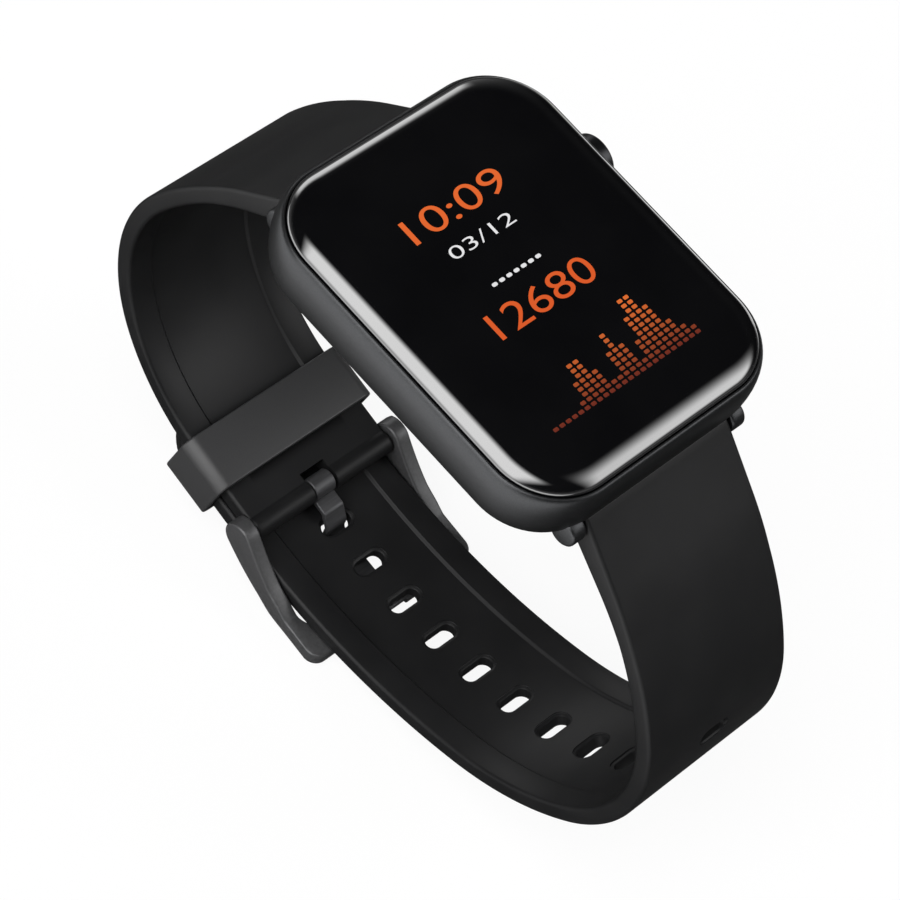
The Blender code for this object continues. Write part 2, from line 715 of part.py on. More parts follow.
# Inside stack
def make_inside():
    green = finish("circuit_board", (0.01, 0.09, 0.05), 0.5)
    half = (BOARD_X, BOARD_Y, BOARD_CORNER)
    loft("main_board", [rounded(*half, z, steps=3) for z in (BOARD_BOTTOM, BOARD_TOP)], green)

    tin = finish("shield_tin", (0.6, 0.6, 0.6), 0.35, 1.0)
    top = BOARD_BOTTOM - FIT
    shield_half = (BOARD_X - SHIELD_SIDE_GAP, BOARD_Y - SHIELD_END_GAP)
    shield = loft("board_shield", [rounded(*shield_half, BOARD_CORNER / 2, z, steps=3)
                                   for z in (top - SHIELD_HEIGHT, top)], tin)
    inner = [side - SHIELD_WALL for side in shield_half]
    span = (top - SHIELD_HEIGHT + SHIELD_WALL, top + CUT_OVER)
    corner = BOARD_CORNER / 2 - SHIELD_WALL
    cut(shield, "shield_hollow", [[rounded(*inner, corner, z, steps=3) for z in span]])

    foil = finish("battery_foil", (0.55, 0.56, 0.58), 0.4, 0.7)
    half = ((BATTERY_RIGHT - BATTERY_LEFT) / 2, CAVITY_Y - BATTERY_END_GAP, BATTERY_CORNER)
    middle = (BATTERY_LEFT + BATTERY_RIGHT) / 2
    heights = (BATTERY_BOTTOM, BATTERY_BOTTOM + BATTERY_THICKNESS)
    loft("battery", [rounded(*half, z, middle, steps=3) for z in heights], foil)


def make_motor():
    """Coin motor: a can and its lid, a fixed shaft, and a half-round weight that spins on it."""
    steel = finish("motor_steel", (0.5, 0.5, 0.52), 0.35, 1.0)
    weight = finish("motor_weight", (0.3, 0.29, 0.28), 0.45, 1.0)
    place = (MOTOR_X, MOTOR_Y, BATTERY_BOTTOM)
    can_height = MOTOR_HEIGHT - MOTOR_WALL - FIT
    can = loft("motor_can", [disc(MOTOR_RADIUS, z) for z in (0.0, can_height)], steel, place)
    inner = MOTOR_RADIUS - MOTOR_WALL
    cut(can, "can_hollow", [[disc(inner, z) for z in (MOTOR_WALL, MOTOR_HEIGHT + CUT_OVER)]])
    lid_low = can_height + FIT
    loft("motor_lid", [disc(MOTOR_RADIUS, z) for z in (lid_low, lid_low + MOTOR_WALL)], steel, place)
    shaft_span = (MOTOR_WALL + FIT, can_height - FIT)
    loft("motor_shaft", [disc(MOTOR_SHAFT_RADIUS, z, steps=PIN_STEPS) for z in shaft_span], steel, place)
    rotor_span = (MOTOR_WALL + ROTOR_GAP, can_height - ROTOR_GAP)
    rings = []
    for z in rotor_span:
        outer, hub = inner - ROTOR_GAP, 3 * MOTOR_SHAFT_RADIUS
        ring = []
        for k in range(PIN_STEPS + 1):
            a = ROTOR_SECTOR * (k / PIN_STEPS - 0.5)
            ring.append((outer * math.cos(a), outer * math.sin(a), z))
        rest = 2 * math.pi - ROTOR_SECTOR
        for k in range(PIN_STEPS + 1):
            a = ROTOR_SECTOR / 2 + rest * k / PIN_STEPS
            ring.append((hub * math.cos(a), hub * math.sin(a), z))
        rings.append(ring)
    rotor = loft("motor_rotor", rings, weight, place)
    over = (0.0, MOTOR_HEIGHT)
    cut(rotor, "rotor_bore", [[disc(MOTOR_SHAFT_RADIUS + FIT, z, steps=PIN_STEPS) for z in over]])


# Rear cover
def make_back():
    look = finish("rear_cover", (0.018, 0.018, 0.019), 0.35)
    dome_foot = COVER_DOME_INSET
    dome_top = COVER_DOME_INSET + COVER_DOME_SLOPE
    rings = [
        cover_ring(dome_top, WINDOW_PROUD),
        cover_ring(dome_foot, BASE_Z),
        cover_ring(2 * FIT, BASE_Z),
        cover_ring(2 * FIT, COVER_TOP),
    ]
    cover = loft("rear_cover", rings, look)
    pocket = dome_top + COVER_POCKET_WALL
    cut(cover, "cover_pocket", [[cover_ring(pocket, z) for z in (FLOOR_Z, COVER_TOP + CUT_OVER)]])
    bore = WINDOW_RADIUS + FIT
    cut(cover, "window_bore", [[disc(bore, z) for z in (-CUT_OVER, COVER_TOP)]])
    cut(cover, "contact_bores", [[disc(CONTACT_RADIUS + FIT, z, x, contact_y(), PIN_STEPS)
                                  for z in (-CUT_OVER, COVER_TOP)] for x in contact_places()])
    head = SCREW_HEAD_RADIUS + FIT
    shank = SCREW_RADIUS + FIT
    seat = head_seat()
    cut(cover, "screw_bores", [[
        disc(head, -CUT_OVER, x, y, PIN_STEPS),
        disc(head, seat, x, y, PIN_STEPS),
        disc(shank, seat, x, y, PIN_STEPS),
        disc(shank, COVER_TOP + CUT_OVER, x, y, PIN_STEPS),
    ] for x, y in screw_places()])

    rubber = finish("seal_rubber", (0.02, 0.02, 0.02), 0.8)
    low = COVER_TOP + FIT
    seal = loft("rear_gasket", [cover_ring(2 * FIT, z) for z in (low, low + GASKET_THICKNESS)], rubber)
    span = (low - CUT_OVER, low + CUT_OVER)
    cut(seal, "gasket_opening", [[cover_ring(GASKET_WIDTH, z) for z in span]])

    steel = finish("screw_steel", (0.3, 0.3, 0.31), 0.35, 1.0)
    for number, (x, y) in enumerate(screw_places(), 1):
        low = seat - FIT - SCREW_HEAD_HEIGHT
        rings = [
            disc(SCREW_HEAD_RADIUS, 0.0, steps=PIN_STEPS),
            disc(SCREW_HEAD_RADIUS, SCREW_HEAD_HEIGHT, steps=PIN_STEPS),
            disc(SCREW_RADIUS, SCREW_HEAD_HEIGHT, steps=PIN_STEPS),
            disc(SCREW_RADIUS, SCREW_HEAD_HEIGHT + SCREW_LENGTH - FIT - COVER_TOP + seat, steps=PIN_STEPS),
        ]
        screw = loft(f"rear_screw_{number}", rings, steel, (x, y, low))
        wide, half = SCREW_HEAD_RADIUS + CUT_OVER, SCREW_SLOT / 2
        slots = [box((-wide, -half, -CUT_OVER), (wide, half, SCREW_HEAD_HEIGHT / 2))]
        cut(screw, f"screw_slot_{number}", slots)


def head_seat():
    """Where the underside of a screw head bears in the rear cover."""
    return BASE_Z + SCREW_HEAD_HEIGHT + FIT


def contact_y():
    """Midway between the window's flange and the end of the cover's pocket."""
    pocket_end = CAVITY_Y + COVER_SEAT - COVER_DOME_INSET - COVER_DOME_SLOPE - COVER_POCKET_WALL
    return -(WINDOW_RADIUS + WINDOW_FLANGE + pocket_end) / 2


def contact_places():
    return (-CONTACT_PITCH / 2, CONTACT_PITCH / 2)


def make_sensor():
    glass = finish("sensor_window", (0.006, 0.006, 0.007), 0.08)
    flange = WINDOW_RADIUS + WINDOW_FLANGE
    low = FLOOR_Z + FIT
    rings = [disc(WINDOW_RADIUS, 0.0), disc(WINDOW_RADIUS, low)]
    rings += [disc(flange, low), disc(flange, FLANGE_TOP)]
    loft("sensor_window", rings, glass)

    chips = {
        "sensor_led_1": (-CHIP_PITCH, (0.2, 0.6, 0.25)),
        "photodiode": (0.0, (0.05, 0.05, 0.08)),
        "sensor_led_2": (CHIP_PITCH, (0.6, 0.08, 0.06)),
    }
    half = CHIP_SIDE / 2
    for name, (y, colour) in chips.items():
        body = box((-half, -half, 0.0), (half, half, CHIP_HEIGHT))
        loft(name, body, finish(name, colour, 0.3), (0, y, CHIP_BOTTOM))

    green = finish("sensor_board", (0.01, 0.09, 0.05), 0.5)
    loft("sensor_board", [disc(WINDOW_RADIUS, z) for z in (SENSOR_BOTTOM, SENSOR_TOP)], green)

    gold = finish("contact_gold", (0.83, 0.62, 0.25), 0.3, 1.0)
    wide = CONTACT_RADIUS + CONTACT_FLANGE
    for number, x in enumerate(contact_places(), 1):
        low = FLOOR_Z + FIT
        profile = ((CONTACT_RADIUS, WINDOW_PROUD), (CONTACT_RADIUS, low), (wide, low), (wide, FLANGE_TOP))
        rings = [disc(radius, z, steps=PIN_STEPS) for radius, z in profile]
        loft(f"charge_contact_{number}", rings, gold, (x, contact_y(), 0))


# Side button
def button_floor():
    """Bottom of the round recess that the button cap travels in."""
    return CASE_WIDTH / 2 - BUTTON_SINK - BUTTON_TRAVEL - FIT


def ring_x():
    return button_floor() - RING_SECTION - FIT


def ring_radius():
    return STEM_RADIUS + RING_SECTION + FIT


def make_button():
    cap_in = CASE_WIDTH / 2 - BUTTON_SINK
    cap_out = CASE_WIDTH / 2 + BUTTON_PROUD
    stem_end = CAVITY_X - STEM_REACH
    clip_x = CAVITY_X - FIT - CLIP_THICKNESS
    neck = STEM_RADIUS - CLIP_GROOVE
    dark = finish("side_button", (0.03, 0.03, 0.032), 0.35, 0.8)
    profile = [
        (stem_end, STEM_RADIUS),
        (clip_x - FIT, STEM_RADIUS),
        (clip_x - FIT, neck),
        (CAVITY_X, neck),
        (CAVITY_X, STEM_RADIUS),
        (cap_in, STEM_RADIUS),
        (cap_in, BUTTON_RADIUS),
        (cap_out - BUTTON_EDGE, BUTTON_RADIUS),
        (cap_out, BUTTON_RADIUS - BUTTON_EDGE),
    ]
    place = (cap_in, BUTTON_Y, BUTTON_Z)
    local = [(x - cap_in, radius) for x, radius in profile]
    loft("side_button", turned_x(local, steps=ROUND_STEPS), dark, place)

    rubber = finish("o_ring_rubber", (0.02, 0.02, 0.02), 0.7)
    rings = []
    for k in range(PIN_STEPS):
        turn = 2 * math.pi * k / PIN_STEPS
        ring = []
        for j in range(END_STEPS):
            around = 2 * math.pi * j / END_STEPS
            reach = ring_radius() + RING_SECTION * math.cos(around)
            offset = RING_SECTION * math.sin(around)
            ring.append((offset, reach * math.cos(turn), reach * math.sin(turn)))
        rings.append(ring)
    bm = bmesh.new()
    rows = [[bm.verts.new(p) for p in ring] for ring in rings]
    for low, high in zip(rows, rows[1:] + rows[:1]):
        for j in range(END_STEPS):
            i = (j + 1) % END_STEPS
            bm.faces.new((low[j], low[i], high[i], high[j]))
    add_object("button_o_ring", mesh_from("button_o_ring", bm), rubber, (ring_x(), BUTTON_Y, BUTTON_Z))

    steel = finish("clip_steel", (0.4, 0.4, 0.41), 0.35, 1.0)
    span = (clip_x, clip_x + CLIP_THICKNESS)
    local = [(x - clip_x, CLIP_RADIUS) for x in span]
    clip = loft("button_clip", turned_x(local), steel, (clip_x, BUTTON_Y, BUTTON_Z))
    over = CLIP_THICKNESS + CUT_OVER
    opening = turned_x([(-CUT_OVER, neck + FIT), (over, neck + FIT)])
    gap = neck * CLIP_MOUTH_SHARE
    slot = box((-CUT_OVER, -gap, -CLIP_RADIUS - CUT_OVER), (over, gap, 0.0))
    cut(clip, "clip_bore", [opening])
    cut(clip, "clip_gap", [slot])

    black = finish("switch_body", (0.05, 0.05, 0.05), 0.5)
    high = stem_end - BUTTON_TRAVEL - FIT
    top = min(BOARD_BOTTOM - FIT, BUTTON_Z + SWITCH_HEIGHT / 2)
    half = SWITCH_LENGTH / 2
    body = box((-SWITCH_DEPTH, -half, -SWITCH_HEIGHT), (0.0, half, 0.0))
    loft("button_switch", body, black, (high, BUTTON_Y, top))


# Straps and clasp
def make_band():
    silicone = finish("strap_silicone", (0.012, 0.012, 0.013), 0.55)
    steel = finish("spring_bar_steel", (0.55, 0.55, 0.56), 0.3, 1.0)
    wire = finish("spring_steel", (0.45, 0.45, 0.47), 0.3, 1.0)
    short = short_path()
    bar, along, outward = short.at(short.length())
    long = long_path(bar)

    strap = strap_body("strap_short", short, STRAP_CLASP_THICKNESS, True, silicone)
    cut_channel(strap, short, STRAP_CLASP_THICKNESS, short.length() - CLASP_TAPER)
    cut_bar_holes(strap, short)
    half = STRAP_WIDTH / 2 + CUT_OVER
    bore = BAR_RADIUS + FIT
    cut(strap, "bar_bore", [turned_x([(-half, bore), (half, bore)], *bar)], (0, 0, 0))
    reach = STRAP_CLASP_THICKNESS
    front, back = bar + along * reach, bar - along * TONGUE_SLOT_BACK
    over = outward * reach
    window = [front + over, front - over, back - over, back + over]
    wide = TONGUE_WIDTH / 2 + TONGUE_PLAY
    cut(strap, "tongue_window", [prism(window, -wide, wide)], (0, 0, 0))

    tail = long.length()
    end, _, _ = long.at(tail)
    under_bar = tail - (end - bar).dot(-along)
    hole = under_bar - TONGUE_REACH
    holed = strap_body("strap_long", long, STRAP_THICKNESS, False, silicone)
    cut_channel(holed, long, STRAP_THICKNESS, tail + CUT_OVER)
    cut_bar_holes(holed, long)
    slots = [slot_rings(long, hole - SLOT_PITCH * k) for k in range(SLOTS_TO_LUG + 1)]
    cut(holed, "slots", slots, (0, 0, 0))
    cut(holed, "tail_corners", [tail_corner(long, tail, sign) for sign in (-1, 1)], (0, 0, 0))

    spring_bar("12", short, steel, wire)
    spring_bar("6", long, steel, wire)
    make_buckle(bar, along, long, under_bar, hole)
    make_keeper(bar, along, outward, silicone)


def frame_point(path, distance, x, height):
    """A point beside the strap's middle: across it by x and out of it by height."""
    point, _, outward = path.at(distance)
    spot = point + outward * height
    return (x, spot.x, spot.y)


def slot_rings(path, distance):
    """A slot with round ends, wide across the strap, cut square through it."""
    radius = SLOT_LENGTH / 2
    straight = SLOT_WIDTH / 2 - radius
    point, along, outward = path.at(distance)
    rings = []
    for height in (-STRAP_THICKNESS - CUT_OVER, STRAP_THICKNESS + CUT_OVER):
        ring = []
        for sign in (1, -1):
            for k in range(END_STEPS // 2 + 1):
                a = math.pi * (2 * k / END_STEPS - 0.5)
                x = sign * (straight + radius * math.cos(a))
                spot = point + along * (sign * radius * math.sin(a)) + outward * height
                ring.append((x, spot.x, spot.y))
        rings.append(ring)
    return rings


def tail_corner(path, tail, sign):
    """What a round corner at the strap's tail leaves out."""
    half = STRAP_WIDTH / 2
    centre_x, centre_s = half - TAIL_CORNER, tail - TAIL_CORNER
    rings = []
    for height in (-STRAP_THICKNESS, STRAP_THICKNESS):
        ring = []
        for k in range(END_STEPS + 1):
            a = math.pi / 2 * k / END_STEPS
            x = sign * (centre_x + TAIL_CORNER * math.cos(a))
            ring.append(frame_point(path, centre_s + TAIL_CORNER * math.sin(a), x, height))
        past_side, past_end = half + CUT_OVER, tail + CUT_OVER
        for x, s in ((centre_x, past_end), (past_side, past_end), (past_side, centre_s)):
            ring.append(frame_point(path, s, sign * x, height))
        rings.append(ring)
    return rings


def thick_path(points, halves):
    """Outline of a bent bar: a middle line with half widths and round ends."""
    left, right = [], []
    last = len(points) - 1
    for k, (point, half) in enumerate(zip(points, halves)):
        way = (points[min(k + 1, last)] - points[max(k - 1, 0)]).normalized()
        normal = Vector((-way.y, way.x))
        left.append(point + normal * half)
        right.append(point - normal * half)
    ends = []
    for k, sign in ((last, 1), (0, -1)):
        way = (points[k] - points[k - sign]).normalized()
        normal = Vector((-way.y, way.x))
        cap = []
        for j in range(1, END_STEPS):
            a = math.pi * j / END_STEPS
            cap.append(points[k] + halves[k] * (normal * math.cos(a) + way * math.sin(a)))
        ends.append(cap)
    return left + ends[0] + right[::-1] + ends[1]


def arm_half(share):
    """Half height of a buckle arm: wide at the heel, slim at the front bar."""
    heel = max(0.0, 1 - share / HEEL_SHARE) * (ARM_HEEL - ARM_HEIGHT / 2)
    toe = max(0.0, 1 - (1 - share) / TOE_SHARE) * (ARM_HEIGHT - FRONT_THICKNESS) / 2
    return ARM_HEIGHT / 2 + heel - toe


def make_buckle(bar, along, path, under_bar, hole):
    """A bent frame and its tongue, both turning on the bar through the short strap's end."""
    metal = finish("buckle_metal", (0.025, 0.025, 0.027), 0.38, 0.8)
    bright = finish("tongue_metal", (0.09, 0.09, 0.095), 0.32, 0.9)
    place = (0, bar.x, bar.y)
    inside = STRAP_WIDTH / 2 + ARM_PLAY
    outside = inside + ARM_THICKNESS
    half = outside - FIT
    loft("buckle_bar", turned_x([(-half, BAR_RADIUS), (half, BAR_RADIUS)]), metal, place)

    middle, forward, out = path.at(under_bar - BUCKLE_REACH)
    front_depth = STRAP_THICKNESS / 2 + STRAP_PLAY + FRONT_THICKNESS / 2
    front = middle + out * front_depth - bar
    knee = front + forward * ARM_KNEE
    heel = Vector((0.0, 0.0))
    line = interpolate_bezier(heel, (heel + 2 * knee) / 3, (front + 2 * knee) / 3, front, PATH_STEPS)
    line = [Vector(p[:2]) for p in line]
    halves = [arm_half(k / (len(line) - 1)) for k in range(len(line))]
    outline = thick_path(line, halves)
    frame = loft("buckle_frame", prism(outline, -outside, -inside), metal, place)
    long_half, high_half = FRONT_LENGTH / 2, FRONT_THICKNESS / 2
    cross = []
    for sa, sb, first in ((1, 1, 0), (-1, 1, 1), (-1, -1, 0), (1, -1, 1)):
        pair = [(long_half, high_half - FRONT_CHAMFER), (long_half - FRONT_CHAMFER, high_half)]
        for length, height in pair[::-1] if first else pair:
            cross.append(front + forward * (sa * length) + out * (sb * height))
    reach = inside + ARM_THICKNESS / 2
    add(frame, "buckle_join", [prism(outline, inside, outside), prism(cross, -reach, reach)])
    hole_radius = BAR_RADIUS + FIT
    over = outside + CUT_OVER
    cut(frame, "frame_bore", [turned_x([(-over, hole_radius), (over, hole_radius)])])
    wide = TONGUE_WIDTH / 2 + TONGUE_PLAY
    bed = FRONT_THICKNESS / 2 - TONGUE_THICKNESS - TONGUE_PLAY
    notch = [
        front + forward * FRONT_LENGTH + out * bed,
        front - forward * FRONT_LENGTH + out * bed,
        front - forward * FRONT_LENGTH + out * (bed + CUT_OVER),
        front + forward * FRONT_LENGTH + out * (bed + CUT_OVER),
    ]
    cut(frame, "tongue_bed", [prism(notch, -wide, wide)])

    slot, slot_way, slot_out = path.at(hole)
    through = slot - bar
    tip_depth = FRONT_THICKNESS / 2 - TONGUE_THICKNESS / 2
    tip = front + out * tip_depth - forward * (FRONT_LENGTH / 2 - TONGUE_THICKNESS)
    dive = STRAP_THICKNESS
    root = along * BAR_RADIUS
    upper = interpolate_bezier(root, root + along * dive, through - slot_out * dive, through, PATH_STEPS)
    after = through + slot_out * (STRAP_THICKNESS / 2 + STRAP_PLAY + TONGUE_THICKNESS)
    lower = interpolate_bezier(through, after, after - slot_way * dive, tip, PATH_STEPS)
    line = [Vector(p[:2]) for p in upper] + [Vector(p[:2]) for p in lower[1:]]
    outline = thick_path(line, [TONGUE_THICKNESS / 2] * len(line))
    half = TONGUE_WIDTH / 2
    tongue = loft("tongue", prism(outline, -half, half), bright, place)
    barrel = BAR_RADIUS + BARREL_WALL
    add(tongue, "tongue_barrel", [turned_x([(-half, barrel), (half, barrel)])])
    cut(tongue, "tongue_bore", [turned_x([(-over, hole_radius), (over, hole_radius)])])


def make_keeper(bar, along, outward, silicone):
    """Loose loop that holds the long strap's tail against the short strap."""
    stack = (STRAP_CLASP_THICKNESS + STRAP_THICKNESS) / 2 + STRAP_PLAY
    inner_height = stack + STRAP_THICKNESS + 2 * KEEPER_PLAY
    inner_half = STRAP_WIDTH / 2 + KEEPER_SIDE_PLAY
    centre = bar - along * KEEPER_FROM_BAR + outward * stack / 2
    half = KEEPER_LENGTH / 2
    outer = (inner_half + KEEPER_WALL, inner_height / 2 + KEEPER_WALL, KEEPER_CORNER)
    inner = (inner_half, inner_height / 2, KEEPER_CORNER / 4)

    def rings(size, reach):
        return [[(x, y, z) for x, z, y in rounded(*size, y0, steps=3)] for y0 in (-reach, reach)]

    keeper = loft("keeper", rings(outer, half), silicone, (0, centre.x, centre.y))
    keeper.rotation_euler = (CLASP_SLOPE, 0, 0)
    opening = lofts("keeper_opening", [rings(inner, half + CUT_OVER)], None, keeper.location)
    opening.rotation_euler = keeper.rotation_euler
    combine(keeper, opening, "DIFFERENCE")


clear_scene()
make_case()
make_glass()
make_inside()
make_motor()
make_back()
make_sensor()
make_button()
make_band()
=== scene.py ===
"""Looks of a square smartwatch on its fastened silicone strap.

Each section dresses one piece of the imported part, in the order in which the watch goes together.
Sizes are in metres in the part's frame: +Z out of the display, +Y to 12 o'clock, +X to 3 o'clock.
"""

import json
import math

import bmesh
import bpy
from mathutils import Matrix, Vector
from mathutils.geometry import interpolate_bezier

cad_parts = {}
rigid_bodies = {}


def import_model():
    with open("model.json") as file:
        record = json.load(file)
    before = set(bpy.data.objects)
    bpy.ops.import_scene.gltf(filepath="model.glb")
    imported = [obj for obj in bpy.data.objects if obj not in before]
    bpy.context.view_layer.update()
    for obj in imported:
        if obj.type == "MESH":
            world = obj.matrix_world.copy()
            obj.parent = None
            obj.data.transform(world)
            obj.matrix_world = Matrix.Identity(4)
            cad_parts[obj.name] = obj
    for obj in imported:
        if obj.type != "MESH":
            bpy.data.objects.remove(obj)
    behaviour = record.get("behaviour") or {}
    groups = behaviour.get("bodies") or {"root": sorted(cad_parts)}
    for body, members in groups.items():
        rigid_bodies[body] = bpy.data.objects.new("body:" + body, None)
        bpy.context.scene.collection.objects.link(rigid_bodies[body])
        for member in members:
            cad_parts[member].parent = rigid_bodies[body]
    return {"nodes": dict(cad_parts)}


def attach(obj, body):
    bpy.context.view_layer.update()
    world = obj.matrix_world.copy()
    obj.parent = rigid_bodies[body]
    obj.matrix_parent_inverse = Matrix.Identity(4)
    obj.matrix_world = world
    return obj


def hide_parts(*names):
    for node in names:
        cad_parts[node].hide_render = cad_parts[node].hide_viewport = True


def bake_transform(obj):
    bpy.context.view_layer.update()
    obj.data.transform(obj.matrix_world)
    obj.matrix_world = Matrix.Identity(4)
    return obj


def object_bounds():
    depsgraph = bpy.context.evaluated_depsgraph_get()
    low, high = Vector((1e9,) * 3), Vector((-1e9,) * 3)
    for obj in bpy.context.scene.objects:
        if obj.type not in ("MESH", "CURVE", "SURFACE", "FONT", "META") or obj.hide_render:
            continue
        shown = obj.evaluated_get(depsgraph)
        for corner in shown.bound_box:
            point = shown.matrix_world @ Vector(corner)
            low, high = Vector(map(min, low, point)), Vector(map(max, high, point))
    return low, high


for thing in list(bpy.data.objects):
    bpy.data.objects.remove(thing, do_unlink=True)
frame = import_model()
cad_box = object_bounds()
nodes = frame["nodes"]


# Case frame
# The case is milled from one block of aluminium, bead blasted and anodised dark grey.
# A thin rim rings the glass, the back is open for the rear cover, and four lugs hold the strap.
MM = 0.001
BASE_Z, WIDEST_Z, SEAM_Z = 1.5 * MM, 6.5 * MM, 8.9 * MM
CASE_X, CASE_Y, CASE_CORNER = 17.6 * MM, 21.6 * MM, 8.1 * MM
RIM_INSET, RIM_WIDTH, RIM_ROUND, BASE_INSET = 0.68 * MM, 0.12 * MM, 0.06 * MM, 1.9 * MM
LEDGE_WIDTH, LEDGE_LOW, LEDGE_TOP = 1.1 * MM, 6.8 * MM, 7.75 * MM
CAVITY_X, CAVITY_Y, CAVITY_CORNER = 14.0 * MM, 16.6 * MM, 3.9 * MM
COVER_SEAT, COVER_SEAT_Z = 0.85 * MM, 2.65 * MM
BUTTON_Y, BUTTON_Z = 7.9 * MM, 5.2 * MM
STEM_BORE, RECESS_X, RECESS_RADIUS, CUT_OVER = 0.9 * MM, 16.6 * MM, 2.75 * MM, 2.0 * MM
PIN_Y, PIN_Z = 20.6 * MM, 2.35 * MM
LUG_NEAR, LUG_FAR, LUG_RADIUS, LUG_EDGE = 10.25 * MM, 12.1 * MM, 1.6 * MM, 0.3 * MM
LUG_ROOT_Y, LUG_ROOT_RISE, LUG_ROOT_DROP = 17.7 * MM, 2.9 * MM, 0.7 * MM
LUG_WRAP = math.radians(260)
QUARTERS = ((0, 1, 1), (1, -1, 1), (2, -1, -1), (3, 1, -1))


class Value:
    """One socket of a material's node tree. An expression on values adds its Math nodes."""

    def __init__(self, tree, socket=None):
        self.tree, self.socket = tree, socket

    def node(self, kind, settings, inputs, output=0):
        """Add a node: its settings first, then the values or links of its sockets."""
        made = self.tree.nodes.new(kind)
        for key, setting in settings.items():
            if key == "stops":
                for k, (place, colour) in enumerate(setting):
                    stop = made.color_ramp.elements[k] if k < 2 else made.color_ramp.elements.new(place)
                    stop.position, stop.color = place, colour
            else:
                setattr(made, key, setting)
        for key, value in inputs.items():
            if isinstance(value, Value):
                self.tree.links.new(value.socket, made.inputs[key])
            else:
                made.inputs[key].default_value = value
        return Value(self.tree, made.outputs[output])

    def math(self, operation, first, second):
        return self.node("ShaderNodeMath", {"operation": operation}, {0: first, 1: second})

    def __add__(self, other):
        return self.math("ADD", self, other)

    __radd__ = __add__

    def __mul__(self, other):
        return self.math("MULTIPLY", self, other)

    __rmul__ = __mul__

    def __sub__(self, other):
        return self.math("SUBTRACT", self, other)

    def __rsub__(self, other):
        return self.math("SUBTRACT", other, self)


class Finish:
    """A material with one Principled shader, and the values that vary over its surface."""

    def __init__(self, name, colour, roughness, **constant):
        self.name = name
        self.material = bpy.data.materials.new(name)
        self.material.use_nodes = True
        self.tree = self.material.node_tree
        self.shader = self.tree.nodes["Principled BSDF"]
        self.set("Base Color", (*colour, 1.0))
        self.set("Roughness", roughness)
        for key, value in constant.items():
            self.set(key.replace("_", " ").title().replace("Ior", "IOR"), value)
        self.base = Value(self.tree)
        self.place = self.base.node("ShaderNodeTexCoord", {}, {}, "Object")

    def set(self, socket, value):
        if isinstance(value, Value):
            self.tree.links.new(value.socket, self.shader.inputs[socket])
        else:
            self.shader.inputs[socket].default_value = value

    def grain(self, size, detail=2.0, stretch=None):
        """Noise whose grains are this size, in metres; stretch turns them into streaks."""
        place = self.place
        if stretch:
            place = self.base.node("ShaderNodeMapping", {}, {"Vector": place, "Scale": stretch})
        inputs = {"Vector": place, "Scale": 1 / size, "Detail": detail}
        return self.base.node("ShaderNodeTexNoise", {}, inputs)

    def mottle(self, dark, light, grain):
        """Base colour that wanders between two tones."""
        stops = [(0.35, (*dark, 1.0)), (0.65, (*light, 1.0))]
        self.set("Base Color", self.base.node("ShaderNodeValToRGB", {"stops": stops}, {"Fac": grain}))

    def relief(self, height, depth):
        self.set("Normal", self.base.node("ShaderNodeBump", {}, {"Height": height, "Distance": depth}))


def skin(name, rows, ring=False):
    """A closed mesh through rows of points: a loft with two ends, or a ring of rows."""
    bm = bmesh.new()
    loops = [[bm.verts.new(point) for point in row] for row in rows]
    for low, high in zip(loops, loops[1:] + loops[:1] if ring else loops[1:]):
        for i in range(len(low)):
            j = (i + 1) % len(low)
            bm.faces.new((low[i], low[j], high[j], high[i]))
    if not ring:
        bm.faces.new(reversed(loops[0]))
        bm.faces.new(loops[-1])
    bmesh.ops.recalc_face_normals(bm, faces=bm.faces)
    mesh = bpy.data.meshes.new(name)
    bm.to_mesh(mesh)
    bm.free()
    return mesh


def put(name, mesh, finish=None):
    piece = bpy.data.objects.new(name, mesh)
    bpy.context.scene.collection.objects.link(piece)
    if finish:
        mesh.materials.clear()
        mesh.materials.append(finish.material)
    return piece


def settle(piece, finish, crease=35):
    """Turn a piece with modifiers into a plain mesh, smooth between its creases."""
    graph = bpy.context.evaluated_depsgraph_get()
    mesh = bpy.data.meshes.new_from_object(piece.evaluated_get(graph))
    piece.modifiers.clear()
    piece.data = mesh
    mesh.materials.clear()
    mesh.materials.append(finish.material)
    mesh.shade_smooth()
    mesh.set_sharp_from_angle(angle=math.radians(crease))


def cut(piece, cutter):
    change = piece.modifiers.new(cutter.name, "BOOLEAN")
    change.operation, change.object, change.solver = "DIFFERENCE", cutter, "EXACT"


def drop(*helpers):
    for helper in helpers:
        bpy.data.objects.remove(helper, do_unlink=True)


def rounded(half_x, half_y, corner, z, steps=18):
    """One ring: a rectangle with round corners at height z."""
    points = []
    for turn, sx, sy in QUARTERS:
        for k in range(steps + 1):
            angle = (turn + k / steps) * math.pi / 2
            x = sx * (half_x - corner) + corner * math.cos(angle)
            y = sy * (half_y - corner) + corner * math.sin(angle)
            points.append((x, y, z))
    return points


def case_ring(inset, z):
    return rounded(CASE_X - inset, CASE_Y - inset, CASE_CORNER - inset, z)


def turned(profile, y, z, steps=64):
    """Rings about an axis along X, from pairs of x and radius."""
    angles = [2 * math.pi * k / steps for k in range(steps)]
    return [[(x, y + r * math.cos(a), z + r * math.sin(a)) for a in angles] for x, r in profile]


def slab(outline, x0, x1):
    """Two rings of a flat plate whose side outline lies in (y, z)."""
    return [[(x, y, z) for y, z in outline] for x in (x0, x1)]


